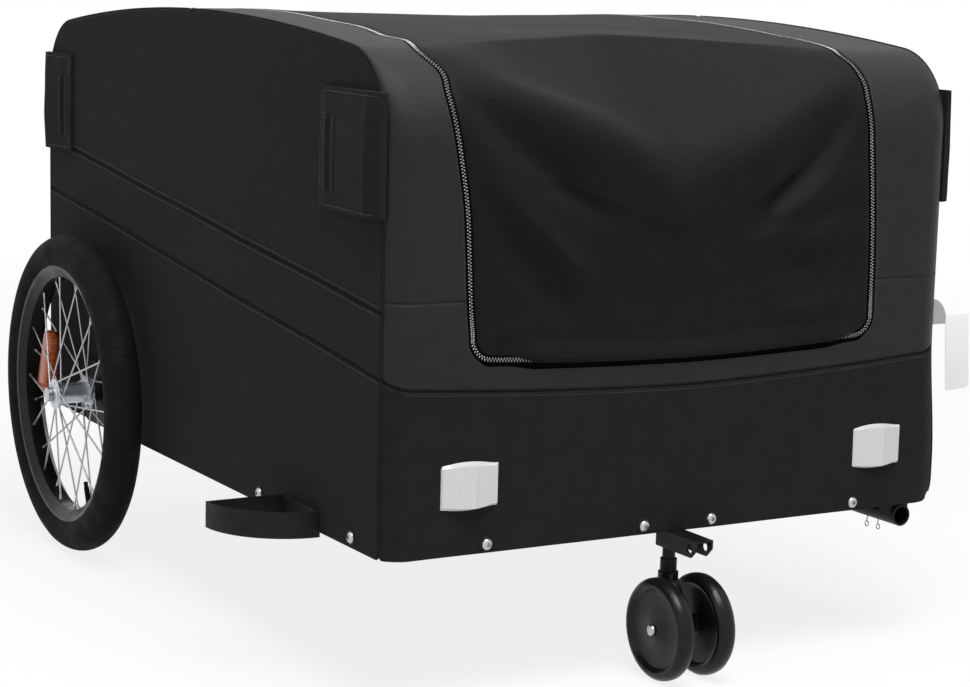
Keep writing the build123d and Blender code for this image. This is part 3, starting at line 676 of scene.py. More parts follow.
def side_piece(side, low_front, high_front, rows):
    """One piece of a side: low_front and high_front are its seams' heights at the front, or None."""
    def place(across, along):
        rim = buck(side * HALF_WIDTH, between(SHOULDER_STOPS, across))
        to_edge = min(rim.y - SIDE_FRONT_Y, SIDE_REAR_Y - rim.y)
        low = BOTTOM_Z + foot(side, to_edge) if low_front is None else seam_z(low_front, rim.y)
        high = rim.z if high_front is None else seam_z(high_front, rim.y)
        z = low + (high - low) * gather(along, rows, high - low)
        sewn = roll(to_edge, PIPED_DEPTH) + roll(high - z, SEAM_DEPTH if high_front else PIPED_DEPTH)
        if low_front is not None:
            sewn += roll(z - low)
        if low_front == UPPER_SEAM_Z:
            sewn += WELT_RISE * math.exp(-((z - low - WELT_OFF) / WELT_WIDTH) ** 2)
        out = side_out(side, rim.y, z) - min(sewn, SEAM_DEPTH)
        return Vector((side * (HALF_WIDTH + out), rim.y, z))
    return lay(SIDE_COLUMNS, rows, place)


# Name, the seams' heights at the front, rows of faces and height when flat, and the area in square metres of
# the two pieces that aren't whole rectangles.
SIDE_PIECES = (
    ("lower", None, LOWER_SEAM_Z, 26, 0.29, {"area": 0.223}),
    ("band", LOWER_SEAM_Z, UPPER_SEAM_Z, 12, 0.072, {}),
    ("upper", UPPER_SEAM_Z, None, 60, 0.29, {"area": 0.213}),
)
for side_name, side in SIDES:
    for name, low_front, high_front, rows, flat_height, area in SIDE_PIECES:
        stretched(side_piece(side, low_front, high_front, rows), f"side_cloth_{name}_{side_name}",
                  "band_fabric" if name == "band" else "box_fabric", [f"side_{name}_{side_name}"],
                  (0.951, flat_height), **area)

# %% [markdown]
# ## The opening and its zip line
# The cover is closed by a zip that runs up both sides and round two small corners along the hem. Its
# middle line is written once, and the cover ends a little inside it and the surround a little outside.
# Slack cloth pulls the zip out of line, so a smooth curve through a few stops says how far it leans.

# %% Zip line
ZIP_CORNER = 20 * MM
HALF_GAP = 5.0 * MM
# How far the line runs outside its straight course, as (w in metres, millimetres), on each side.
ZIP_LEAN = {
    1: ((0.15, -8), (0.27, -8.5), (0.32, -10.5), (0.38, -14.5), (0.42, -18), (0.455, -18), (0.475, -15.5),
        (0.505, -17), (0.525, -20), (0.545, -14), (0.57, -7), (0.60, -2), (0.63, -2), (0.665, -8),
        (0.75, -5), (1.0, -3), (1.4, 0), (2.0, 0)),
    -1: ((0.15, 0), (0.214, 1.5), (0.26, 4.5), (0.31, 7.5), (0.35, 10.5), (0.39, 17), (0.43, 24),
         (0.465, 27), (0.49, 25), (0.515, 33), (0.535, 34), (0.56, 27), (0.588, 20), (0.62, 27),
         (0.66, 20), (0.70, 15), (0.75, 19), (0.85, 15), (1.0, 12), (1.2, 6), (1.4, 0), (2.0, 0)),
}


def zip_x(side, w):
    """How far from the middle the zip runs at w: a smooth cubic through the stops above."""
    stops = ZIP_LEAN[side]
    at = next((i for i in range(1, len(stops)) if w <= stops[i][0]), len(stops) - 1)
    before, low = stops[max(at - 2, 0)], stops[at - 1]
    high, after = stops[at], stops[min(at + 1, len(stops) - 1)]
    width = high[0] - low[0]
    share = min(max((w - low[0]) / width, 0.0), 1.0)
    leaves = (high[1] - before[1]) / max(high[0] - before[0], 1e-6) * width
    arrives = (after[1] - low[1]) / max(after[0] - low[0], 1e-6) * width
    s2, s3 = share ** 2, share ** 3
    lean = (low[1] * (2 * s3 - 3 * s2 + 1) + leaves * (s3 - 2 * s2 + share)
            + high[1] * (3 * s2 - 2 * s3) + arrives * (s3 - s2))
    return ZIP_X + lean * MM


def limit(side, w, inward):
    """The edge of a region that keeps inward of the zip line, at w."""
    drop = HEM_W + ZIP_CORNER - w
    if drop <= 0:
        return zip_x(side, w) - inward
    radius = ZIP_CORNER - inward
    return zip_x(side, w) - ZIP_CORNER + math.sqrt(max(radius ** 2 - drop ** 2, 0.0))


for side, stops in ZIP_LEAN.items():
    print("side", side, "the zip leans out by up to", max(lean for _, lean in stops), "mm")

# %% [markdown]
# ## Lower panels, front and rear
# These wrap the tube frame below the seams. The front seam sags between the corners, where it climbs to
# meet the side seam. Towards each corner the panels bend back to the upright seam.

# %% The lower panels' edges
# The seam's height in the middle, its rise 0.3 m out, and the last rise in the bent corner.
SEAM_MIDDLE_Z, SEAM_RISE_OUT, SEAM_RISE_CORNER = 314 * MM, 13 * MM, 8.1 * MM
REAR_SEAM_W = AROUND - (seam_z(LOWER_SEAM_Z, REAR_Y) - BOTTOM_Z)


def front_seam_z(x):
    """The seam under the opening: lowest in the middle, and up to the side seam at the corner."""
    corner_rise = max(0.0, (abs(x) - FLAT_X) / (HALF_WIDTH - FLAT_X)) ** 3
    return SEAM_MIDDLE_Z + SEAM_RISE_OUT * (abs(x) / 0.3) ** 1.6 + SEAM_RISE_CORNER * corner_rise


def bottom_w(x):
    """The distance at which a panel's lower edge lies, higher in the rounded corners."""
    return foot(1 if x > 0 else -1, HALF_WIDTH - abs(x))


print("front seam height", [round(front_seam_z(x), 4) for x in (0.0, HALF_WIDTH)], "m, middle and end")

# %% Lower panels
PANEL_COLUMNS, FRONT_ROWS, REAR_ROWS = 90, 18, 24
CORNER_STOPS = [(0.0, -HALF_WIDTH), (0.2, -FLAT_X), (0.8, FLAT_X), (1.0, HALF_WIDTH)]


def panel(low_w, high_w, rows):
    """A lower end panel between two functions of x that give its two edges' distances."""
    def place(across, along):
        x = between(CORNER_STOPS, across)
        low, high = low_w(x), high_w(x)
        w = low + (high - low) * gather(along, rows, high - low)
        sewn = roll(min(w - low, high - w)) if SEAM_REACH < w < AROUND - SEAM_REACH else 0.0
        at = skin(x, w, -max(sewn, roll(HALF_WIDTH - abs(x), PIPED_DEPTH)))
        at.x += belly(x, at.y, at.z) * max(0.0, (x - FLAT_X) / (HALF_WIDTH - FLAT_X)) ** 1.5
        return at
    return lay(PANEL_COLUMNS, rows, place)


stretched(panel(bottom_w, lambda x: front_seam_z(x) - BOTTOM_Z, FRONT_ROWS),
          "front_cloth", "box_fabric", ["front_panel"], (0.72, 0.165))
stretched(panel(lambda x: REAR_SEAM_W, lambda x: AROUND - bottom_w(x), REAR_ROWS),
          "rear_cloth", "box_fabric", ["rear_panel"], (0.72, 0.288))

# %% [markdown]
# ## The surround
# One strip of cloth runs up each front corner, over the shoulder and down the rear, and a narrow strip
# under the hem joins the two. They are laid as three grids, joined and merged, so no seam shows. A small
# cross seam dents each strip above the front corner.

# %% Surround
SMALL_SEAM_W = 258 * MM
SMALL_SEAM_DEPTH, SMALL_SEAM_WIDTH = 1.5 * MM, 1.6 * MM
STRIP_COLUMNS, STRIP_ROWS, HEM_COLUMNS, HEM_ROWS = 20, 132, 100, 12
# Behind the hanging part of the cover's hem the strip's edge lies lower, between these places.
HEM_DIP, HEM_DIP_X = 2 * MM, (0.215, 0.18)


def under_hem(low, top, row):
    """The distance of one of the rows under the hem: two lie in the seam, the rest are even."""
    return between([(0, low), (2, low + 3 * MM), (HEM_ROWS, top)], row)


def strip_place(side):
    """Where one corner's strip is laid, from the front seam up and over to the rear seam."""
    corner_top = HEM_W + ZIP_CORNER
    # The row of the grid that lies at each distance: rows are closest at seams and round the shoulders.
    stops = [(HEM_ROWS, corner_top), (15, SMALL_SEAM_W - 4 * MM), (23, SMALL_SEAM_W + 4 * MM),
             (36, UPRIGHT), (54, UPRIGHT + SHOULDER), (104, AROUND - UPRIGHT - SHOULDER),
             (118, AROUND - UPRIGHT), (130, REAR_SEAM_W - 3 * MM), (STRIP_ROWS, REAR_SEAM_W)]

    def place(across, along):
        row = along * STRIP_ROWS
        w = max(between(stops, row), corner_top)
        inner = (ZIP_X if w > HINGE_W else zip_x(side, w)) + HALF_GAP
        x = between([(0.0, inner), (0.5, FLAT_X), (1.0, HALF_WIDTH)], across)
        low = front_seam_z(x) - BOTTOM_Z
        if row < HEM_ROWS:
            w = under_hem(low, corner_top, row)
        dent = SMALL_SEAM_DEPTH * math.exp(-((w - SMALL_SEAM_W) / SMALL_SEAM_WIDTH) ** 2)
        sewn = max(roll(w - low) + roll(REAR_SEAM_W - w) + dent, roll(HALF_WIDTH - x, PIPED_DEPTH))
        return skin(side * x, w, -min(sewn, SEAM_DEPTH))
    return place


def hem_place(across, along):
    """Where the strip under the hem is laid: its upper edge follows the zip and its two corners."""
    left, right = [zip_x(side, HEM_W + ZIP_CORNER) for side in (-1, 1)]
    x = between([(0.0, -left - HALF_GAP), (0.2, ZIP_CORNER - left), (0.8, right - ZIP_CORNER),
                 (1.0, right + HALF_GAP)], across)
    beyond = max(abs(x) - (right if x > 0 else left) + ZIP_CORNER, 0.0)
    top = HEM_W + ZIP_CORNER - math.sqrt(max((ZIP_CORNER + HALF_GAP) ** 2 - beyond ** 2, 0.0))
    top -= HEM_DIP * smooth(*HEM_DIP_X, abs(x))
    low = front_seam_z(x) - BOTTOM_Z
    w = under_hem(low, top, along * HEM_ROWS)
    return skin(x, w, -roll(w - low))


strips = [lay(STRIP_COLUMNS, STRIP_ROWS, strip_place(side), thickness=0) for _, side in SIDES]
surround = join([lay(HEM_COLUMNS, HEM_ROWS, hem_place, thickness=0), *strips])
bpy.ops.object.mode_set(mode="EDIT")
bpy.ops.mesh.select_all(action="SELECT")
bpy.ops.mesh.remove_doubles(threshold=0.2 * MM)
bpy.ops.object.mode_set(mode="OBJECT")
apply(surround, "SOLIDIFY", thickness=CLOTH, offset=-1.0)
stretched(surround, "opening_surround", "box_fabric", ["edge_strip_port", "edge_strip_starboard"],
          (0.093, 3.03), strip_cloth)

# %% [markdown]
# Between the two strips, a wide piece of the same cloth hangs from the hinge seam down to the rear seam.

# %% Upper rear cloth
REAR_UPPER_COLUMNS, REAR_UPPER_ROWS = 40, 44


def rear_upper_place(across, along):
    """Where the upper rear cloth is laid."""
    x = (ZIP_X + HALF_GAP) * (2 * across - 1)
    w = HINGE_W + (REAR_SEAM_W - HINGE_W) * gather(along, REAR_UPPER_ROWS, REAR_SEAM_W - HINGE_W)
    return skin(x, w, -roll(REAR_SEAM_W - w))


stretched(lay(REAR_UPPER_COLUMNS, REAR_UPPER_ROWS, rear_upper_place), "rear_upper_cloth", "box_fabric",
          ["rear_upper_panel"], (0.516, 0.31), strip_cloth)

# %% [markdown]
# ## The cover
# The cover is one long sheet, sewn to the rear panel at its hinge seam and zipped all round. It is laid
# on a fine grid, so that its folds come from real geometry. In the middle of the hem its edge curls out
# and hangs over the zip.

# %% Cover
COVER_COLUMNS, COVER_ROWS = 150, 260
COVER_EDGE = HEM_W + HALF_GAP
HINGE_GAP = 0.6 * MM
HEM_ZONE, HEM_SHARE = 17 * MM, 0.06
# The hem's edge hangs this far over the zip, between these places across the box and up the outline.
HEM_HANG = 7 * MM
HANG_STARBOARD, HANG_PORT, HANG_HEIGHTS = (-0.215, -0.175), (0.235, 0.20), (26 * MM, 8 * MM)
# How far the hanging edge stands out at its end, and further up; and how far the cover's edge lies back.
CURL_END, CURL_ABOVE = 1.8 * MM, 3.6 * MM
EDGE_STEP, EDGE_BACK = 1.2 * MM, 0.8 * MM
COVER_STOPS = [(0.0, COVER_EDGE), (HEM_SHARE, COVER_EDGE + HEM_ZONE), (0.25, UPRIGHT),
               (0.45, UPRIGHT + SHOULDER), (1.0, HINGE_W - HINGE_GAP)]


def cover_place(across, along):
    """Where the cover is laid, from its hem up and over to the hinge seam."""
    w = between(COVER_STOPS, along)
    if along < HEM_SHARE:
        w = COVER_EDGE + HEM_ZONE * (1 - math.cos(along / HEM_SHARE * math.pi / 2))
    left, right = limit(-1, w, HALF_GAP), limit(1, w, HALF_GAP)
    x = -left + (left + right) * gather(across, COVER_COLUMNS, left + right, 4 * MM)
    above = w - COVER_EDGE
    to_zip = min(x + left, right - x, above + 1 * MM)
    over = smooth(*HANG_STARBOARD, x) * smooth(*HANG_PORT, x) * smooth(*HANG_HEIGHTS, above)
    curl = CURL_END + CURL_ABOVE * smooth(-1 * MM, 6 * MM, above)
    lift = EDGE_STEP * smooth(0, 4 * MM, to_zip) - EDGE_BACK + curl * over
    return cover_skin(x, w - HEM_HANG * over, lift)


cover = lay(COVER_COLUMNS, COVER_ROWS, cover_place)
settle(cover, "cover_cloth", "cover", cover_cloth, "cover_fabric", ["cover"])
print("cover laid,", len(cover.data.polygons), "faces")

# %% [markdown]
# ## The zip
# A coil zip is two rows of teeth on two woven tapes, with each row's teeth in the other row's gaps. One
# tape is sewn behind the cover's edge and goes with it, and the other behind the surround's. The line
# is walked in even steps of 1.7 mm, and every step places one tooth, on the two rows in turn.

# %% Walk the zip line
CORNER_STEPS = 30


def zip_course():
    """Points (x, w) of the zip line, from the starboard hinge end round the hem to the port hinge end."""
    corner_w = HEM_W + ZIP_CORNER
    upright = [HINGE_W - 2 * MM - i * MM for i in range(int((HINGE_W - corner_w) / MM))]
    left, right = ZIP_CORNER - zip_x(-1, corner_w), zip_x(1, corner_w) - ZIP_CORNER

    def corner_arc(middle_x, from_degrees):
        turns = [math.radians(from_degrees + 90 / CORNER_STEPS * i) for i in range(CORNER_STEPS + 1)]
        return [(middle_x + ZIP_CORNER * math.cos(turn), HEM_W + ZIP_CORNER * (1 + math.sin(turn)))
                for turn in turns]
    hem = [(x * MM, HEM_W) for x in range(int(left / MM) + 1, int(right / MM))]
    return ([(-zip_x(-1, w), w) for w in upright] + corner_arc(left, 180) + hem + corner_arc(right, 270)
            + [(zip_x(1, w), w) for w in reversed(upright)])


def walk(points, step):
    """Even steps along a line of points."""
    walked, left_over = [points[0]], 0.0
    for start_at, end_at in zip(points, points[1:]):
        length = (end_at - start_at).length
        along = step - left_over
        while along <= length:
            walked.append(start_at.lerp(end_at, along / length))
            along += step
        left_over = length - (along - step)
    return walked


TOOTH_PITCH = 3.4 * MM
zip_line = walk([Vector((x, w, 0)) for x, w in zip_course()], TOOTH_PITCH / 2)
zip_frames = []
for before, here, after in zip(zip_line, zip_line[1:], zip_line[2:]):
    at = skin(here.x, here.y)
    along = (skin(after.x, after.y) - skin(before.x, before.y)).normalized()
    up = outward(here.x, here.y)
    inward = up.cross(along).normalized()
    zip_frames.append((at, along, inward, up))
print("zip steps:", len(zip_frames))

# %% [markdown]
# One tooth is a small bar with bevelled edges. It is modelled once and copied to every place, each copy
# with its own vertices, into one mesh per row.

# %% Copies of one shape
def repeat(master, places):
    """One piece made of a copy of the master at each place; the master goes."""
    corners = [vertex.co.copy() for vertex in master.data.vertices]
    faces = [tuple(face.vertices) for face in master.data.polygons]
    points, rings = [], []
    for place in places:
        first = len(points)
        turned_over = place.determinant() < 0
        points += [place @ at for at in corners]
        rings += [tuple(first + i for i in (reversed(face) if turned_over else face)) for face in faces]
    mesh = bpy.data.meshes.new(master.name)
    mesh.from_pydata(points, [], rings)
    mesh.update()
    piece = bpy.data.objects.new(master.name, mesh)
    bpy.context.scene.collection.objects.link(piece)
    bpy.data.objects.remove(master)
    return piece


def frame_of(at, x_axis, y_axis, z_axis):
    """The matrix that takes a shape's own axes to these, at this point."""
    return Matrix.Translation(at) @ Matrix((x_axis, y_axis, z_axis)).transposed().to_4x4()


def cube(size):
    """A plain box around the origin, from which small parts are made."""
    bpy.ops.object.select_all(action="DESELECT")
    bpy.ops.mesh.primitive_cube_add(size=1)
    piece = bpy.context.object
    piece.scale = size
    bpy.ops.object.transform_apply(location=True, rotation=True, scale=True)
    return piece


def bar(size, bevel):
    """A box with every edge bevelled."""
    piece = cube(size)
    bpy.ops.object.mode_set(mode="EDIT")
    bpy.ops.mesh.select_all(action="SELECT")
    bpy.ops.mesh.bevel(offset=bevel, segments=1, affect="EDGES")
    bpy.ops.object.mode_set(mode="OBJECT")
    return piece


print("teeth to place:", len(zip_frames))

# %% [markdown]
# ## Strands and stitches
# A strand, such as piping or a wire, is a curve with a round bevel, turned into a mesh. A row of stitches is
# one short thread copied along a line. Real stitches are 3 mm long and 0.5 mm thick, and here they are
# 0.8 mm thick, because finer ones wouldn't show.

# %% Strands and stitches
STITCH = (3.0 * MM, 0.8 * MM, 0.7 * MM)
STITCH_PITCH = 4.2 * MM
# Sewing thread is spun and matt, a tone above the cloth so that it can be seen.
thread = rigid("black_sewing_thread", "#222222", 0.6, rise=0.0)


def strand(points, radius, closed=False):
    """A round strand through these points."""
    line = bpy.data.curves.new("strand", "CURVE")
    line.dimensions = "3D"
    line.bevel_depth = radius
    line.bevel_resolution = 1
    line.use_fill_caps = True
    spline = line.splines.new("POLY")
    spline.points.add(len(points) - 1)
    spline.use_cyclic_u = closed
    for at, point in zip(spline.points, points):
        at.co = (*point, 1)
    made = bpy.data.objects.new("strand", line)
    bpy.context.scene.collection.objects.link(made)
    only(made)
    bpy.ops.object.convert(target="MESH")
    return bpy.context.object


def stitch_places(line, length):
    """Where stitches lie along a line, a function from 0..1 to a point and the direction that faces out."""
    count = max(int(length / STITCH_PITCH), 1)
    places = []
    for i in range(count):
        start_at, _ = line((i + 0.1) / count)
        middle, up = line((i + 0.5) / count)
        end_at, _ = line((i + 0.9) / count)
        along = (end_at - start_at).normalized()
        across = up.cross(along).normalized()
        places.append(frame_of(middle, along, across, along.cross(across)))
    return places


def sew(places, name):
    """One piece with a stitch at every place."""
    settle(repeat(bar(STITCH, 0.2 * MM), places), name, "trailer", thread)
    print(name, len(places), "stitches")


# %% [markdown]
# The box is stitched 4.5 mm from its seams, and beside the zip. Piping covers each upright corner seam: a
# strand along the side's whole outline, sunk a little into the seam.

# %% Seam stitches and piping
BESIDE_SEAM = 4.5 * MM
BESIDE_ZIP = 6.5 * MM
PIPING_RADIUS, PIPING_SINK, PIPING_STEPS = 1.1 * MM, 0.9 * MM, 260


def side_line(side, seam, above):
    """A line of stitches beside a side seam."""
    def line(share):
        y = SIDE_FRONT_Y + 4 * MM + (SIDE_REAR_Y - SIDE_FRONT_Y - 8 * MM) * share
        z = seam_z(seam, y) + above
        return Vector((side * (HALF_WIDTH + side_out(side, y, z)), y, z)), Vector((side, 0, 0))
    return line


def front_line(share):
    """The line of stitches along the seam under the opening."""
    x = (FLAT_X + 10 * MM) * (2 * share - 1)
    w = front_seam_z(x) - BOTTOM_Z - BESIDE_SEAM
    return skin(x, w), outward(x, w)


def strip_line(side):
    """A line of stitches outside the zip."""
    def line(share):
        w = HEM_W + ZIP_CORNER + (HINGE_W - HEM_W - ZIP_CORNER) * share
        x = side * (zip_x(side, w) + BESIDE_ZIP)
        return skin(x, w), outward(x, w)
    return line


SIDE_ROWS = ((LOWER_SEAM_Z, -BESIDE_SEAM), (UPPER_SEAM_Z, BESIDE_SEAM), (UPPER_SEAM_Z, -BESIDE_SEAM))
places = []
for _, side in SIDES:
    for seam, above in SIDE_ROWS:
        places += stitch_places(side_line(side, seam, above), SIDE_REAR_Y - SIDE_FRONT_Y)
    places += stitch_places(strip_line(side), HINGE_W - HEM_W)
places += stitch_places(front_line, 2 * FLAT_X)
sew(places, "seam_stitches")

piping = []
for _, side in SIDES:
    crease = [buck(side * HALF_WIDTH, AROUND * i / PIPING_STEPS) for i in range(1, PIPING_STEPS)]
    points = [at + Vector((side * (belly(side, at.y, at.z) - PIPING_SINK), 0, 0)) for at in crease]
    piping.append(strand(points, PIPING_RADIUS))
settle(join(piping), "corner_piping", "trailer", box_cloth)
print("piping:", len(piping), "strands")

# %% [markdown]
# The teeth go on the two rows in turn, and each tape lies 1.3 mm below the cloth, from the zip's middle line
# to well under the cloth's edge.

# %% Teeth and tapes
TOOTH = (1.6 * MM, 2.5 * MM, 1.6 * MM)
TOOTH_OFF, TOOTH_SINK = 1.15 * MM, 0.5 * MM
TAPE_SINK, TAPE_THICK, TAPE_LENGTH = 1.3 * MM, 0.5 * MM, 2.75
# Where a tape's two edges lie, off from the zip's middle line.
TAPE_NEAR, TAPE_FAR = 0.3 * MM, 10.8 * MM
# A wound wire with a dark nickel plate: small grey glints in a row.
nickel = rigid("nickel_plated_coil", "#7C7C7A", 0.3, metallic=1.0, rise=0.0)


def tape(name, body, near, far):
    """A tape behind the cloth, between two distances from the zip's middle line."""
    last = len(zip_frames) - 1

    def place(across, along):
        at, _, inward, up = zip_frames[round(along * last)]
        return at + inward * (near + (far - near) * across) - up * TAPE_SINK
    piece = lay(4, last, place, thickness=TAPE_THICK)
    settle(piece, name, body, zip_tape_painted_shade)


for row, (edge, body, toward) in enumerate((("cover", "cover", 1), ("opening", "trailer", -1))):
    places = [frame_of(at + inward * toward * TOOTH_OFF - up * TOOTH_SINK, along, inward, up)
              for at, along, inward, up in zip_frames[row::2]]
    settle(repeat(bar(TOOTH, 0.4 * MM), places), f"zip_teeth_{edge}", body, nickel)
    print("teeth on the", edge, len(places))
# Both tapes are near-black: that colour is painted shade for the gaps beside the teeth and under the hem.
tape("zip_tape_cover", "cover", TAPE_NEAR, TAPE_FAR)
tape("zip_tape_opening", "trailer", -TAPE_NEAR, -TAPE_FAR)

# %% [markdown]
# ## Corner sleeves
# Four padded pouches are sewn over the corners. Each is thin at its inner edge and thickest at a fold
# beside the corner, and a slot with a raised border runs down it. The outer face is one grid whose rim is
# turned down to the side panel, closed at the back, so it is a solid pad.

# %% A sleeve's outer face
# How far each sleeve's slot lies from the corner seam, and how wide it is.
SLEEVE_SLOT = {"front": (112 * MM, 27 * MM), "rear": (72 * MM, 26 * MM)}
SLOT_BOTTOM, SLOT_TOP = 18 * MM, 27 * MM
SLOT_RISE, SLOT_INSET = 1.3 * MM, 2.6 * MM
# Inside the slot's outline, its inset middle begins at the first distance and is fully down at the second.
INSET_FROM, INSET_TO = 7 * MM, 10 * MM
PAD_COLUMNS, PAD_ROWS = 80, 72
# Thickness as a share of the sleeve's depth, along its length from the corner seam.
PAD_STOPS = ((0.0, 0.55), (0.17, 1.0), (0.24, 0.93), (1.0, 0.42))


def sleeve_face(side_name, side, end):
    """The function that gives a point of a sleeve's outer face, off from the corner seam at height z."""
    low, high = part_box(f"sleeve_{end}_{side_name}")
    depth, length, height = high - low
    slot_at, slot_width = SLEEVE_SLOT[end]
    crease, inward = (low.y, 1) if end == "front" else (high.y, -1)

    def point(off, z):
        share = between(PAD_STOPS, off / length)
        bulge = 1 - 0.25 * abs((z - low.z) / height * 2 - 0.8) ** 2
        from_slot = abs(off - slot_at)
        slot = (smooth(slot_width / 2 + 2 * MM, slot_width / 2 - 2 * MM, from_slot)
                * smooth(0, 4 * MM, z - low.z - SLOT_BOTTOM) * smooth(0, 4 * MM, high.z - SLOT_TOP - z))
        inset = smooth(slot_width / 2 - INSET_FROM, slot_width / 2 - INSET_TO, from_slot) * slot
        out = depth * max(share * bulge, 0.3) + SLOT_RISE * slot - SLOT_INSET * inset
        wave = noise.noise(Vector((off * 25, z * 25, side * 3.0 + inward))) * 1.0 * MM
        return Vector((side * (HALF_WIDTH + out + wave), crease + inward * off, z))
    return point


print("slot of a front sleeve:", [round(v, 3) for v in SLEEVE_SLOT["front"]], "m from the corner, and wide")

# %% [markdown]
# Two rows of stitches hold the sleeve's inner edge, one row its top and its bottom, and one runs round the
# slot. They follow the same face as the pad, so they lie on it wherever it bends.

# %% Sleeves
# How far rows of stitches run from a pad's upper and lower edge, and from its inner edge.
PAD_HEM, PAD_INNER_ROWS = 5 * MM, (5 * MM, 10 * MM)
# How far the level rows stop from the corner seam, and from the inner edge.
PAD_SEAM_END, PAD_INNER_END = 8 * MM, 12 * MM
# How far inside the slot's outline its stitches run: at its sides, and at its top and bottom.
SLOT_SIDE_HEM, SLOT_END_HEM = 3 * MM, 4 * MM


def pad_shares(cells):
    """Even shares with the outermost row of points close to the rim, where the pad turns down."""
    return [(0, 0.002), (1 / cells, 0.006), (1 - 1 / cells, 0.994), (1, 0.998)]


def sleeve_rows(length, low_z, high_z, slot_at, slot_width):
    """The ends of each row of stitches on a sleeve, as (off, z) pairs."""
    bottom, top = low_z + PAD_HEM, high_z - PAD_HEM
    rows = [((length - back, bottom), (length - back, top)) for back in PAD_INNER_ROWS]
    rows += [((PAD_SEAM_END, z), (length - PAD_INNER_END, z)) for z in (bottom, top)]
    left, right = slot_at - slot_width / 2 + SLOT_SIDE_HEM, slot_at + slot_width / 2 - SLOT_SIDE_HEM
    bottom, top = low_z + SLOT_BOTTOM + SLOT_END_HEM, high_z - SLOT_TOP - SLOT_END_HEM
    rows += [((off, bottom), (off, top)) for off in (left, right)]
    return rows + [((left, z), (right, z)) for z in (top, bottom)]


def sleeve(side_name, side, end):
    """One pad on its corner; it returns the places of its stitches."""
    low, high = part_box(f"sleeve_{end}_{side_name}")
    length, height = high.y - low.y, high.z - low.z
    face = sleeve_face(side_name, side, end)

    def place(across, along):
        at = face(length * between(pad_shares(PAD_COLUMNS), across),
                  low.z + height * between(pad_shares(PAD_ROWS), along))
        if min(across, 1 - across, along, 1 - along) < 0.001:
            at.x = side * (HALF_WIDTH - 0.3 * MM)
        return at
    crease = low.y if end == "front" else high.y
    pad = lay(PAD_COLUMNS, PAD_ROWS, place, thickness=0, facing=Vector((0, crease, (low.z + high.z) / 2)))
    close_back(pad)
    settle(pad, f"sleeve_pad_{end}_{side_name}", "trailer", pad_cloth, "sleeve_fabric",
           [f"sleeve_{end}_{side_name}"], angle=60)
    places = []
    for (off_0, z_0), (off_1, z_1) in sleeve_rows(length, low.z, high.z, *SLEEVE_SLOT[end]):
        def row(share):
            return face(off_0 + (off_1 - off_0) * share, z_0 + (z_1 - z_0) * share), Vector((side, 0, 0))
        places += stitch_places(row, math.hypot(off_1 - off_0, z_1 - z_0))
    return places


sew([at for side_name, side in SIDES for end in ("front", "rear") for at in sleeve(side_name, side, end)],
    "sleeve_stitches")

# %% [markdown]
# ## Bolts
# Domed bolts with a socket for a hex key and black washers hold the cloth to the base tubes. One is turned
# by spinning its half section, then copied to each place.

# %% Turned shapes
FACE_FRONT = (Vector((1, 0, 0)), Vector((0, 0, 1)), Vector((0, -1, 0)))
FACE_REAR = (Vector((-1, 0, 0)), Vector((0, 0, 1)), Vector((0, 1, 0)))
FACE_PORT = (Vector((0, 1, 0)), Vector((0, 0, 1)), Vector((1, 0, 0)))
FACE_STARBOARD = (Vector((0, -1, 0)), Vector((0, 0, 1)), Vector((-1, 0, 0)))


def spun(outline, steps=24):
    """A shape turned about Z from (radius, height) points in mm, from axis to axis or closed in a ring."""
    bpy.ops.object.select_all(action="DESELECT")
    bpy.ops.mesh.primitive_plane_add(size=1)
    piece = bpy.context.object
    bpy.ops.object.mode_set(mode="EDIT")
    bpy.ops.mesh.select_all(action="SELECT")
    bpy.ops.mesh.delete(type="VERT")
    bpy.ops.object.mode_set(mode="OBJECT")
    edges = [(i, i + 1) for i in range(len(outline) - 1)]
    piece.data.from_pydata([(r * MM, 0, z * MM) for r, z in outline], edges, [])
    bpy.ops.object.mode_set(mode="EDIT")
    bpy.ops.mesh.select_all(action="SELECT")
    bpy.ops.mesh.spin(steps=steps, angle=2 * math.pi, center=(0, 0, 0), axis=(0, 0, 1))
    bpy.ops.mesh.select_all(action="SELECT")
    bpy.ops.mesh.remove_doubles(threshold=1e-6)
    bpy.ops.mesh.normals_make_consistent(inside=False)
    bpy.ops.object.mode_set(mode="OBJECT")
    return piece


def closed(outline):
    """An outline whose last point is its first, for a ring that doesn't reach the axis."""
    return [*outline, outline[0]]


# %% Bolts
# Places in metres, and outlines as (radius, height) in mm.
BOLT_X = (-0.234, -0.043, 0.043, 0.234)
BOLT_Z = 0.166
SIDE_BOLT_Y, SIDE_BOLT_Z = (-0.3877, -0.1646), 0.168
BOLT_HEAD = [(0, 1.0), (2.0, 1.0), (2.3, 3.9), (3.2, 3.7), (4.4, 3.2), (5.6, 2.2), (6.1, 1.0), (6.1, 0.6),
             (0, 0.6)]
WASHER = [(5.0, 0.9), (7.8, 0.9), (8.2, 0.5), (8.2, -0.3), (5.0, -0.3)]
bolt_places = [frame_of(Vector((x, FRONT_Y, BOLT_Z)), *FACE_FRONT) for x in BOLT_X]
bolt_places += [frame_of(Vector((x, REAR_Y, BOLT_Z)), *FACE_REAR) for x in BOLT_X]
for y in SIDE_BOLT_Y:
    slack = belly(1, y, SIDE_BOLT_Z)
    bolt_places.append(frame_of(Vector((HALF_WIDTH + slack, y, SIDE_BOLT_Z)), *FACE_PORT))
    bolt_places.append(frame_of(Vector((-HALF_WIDTH, y, SIDE_BOLT_Z)), *FACE_STARBOARD))
settle(repeat(spun(BOLT_HEAD), bolt_places), "cloth_bolts", "trailer", zinc)
settle(repeat(spun(closed(WASHER)), bolt_places), "cloth_bolt_washers", "trailer", guard_plastic)
print("bolts:", len(bolt_places))

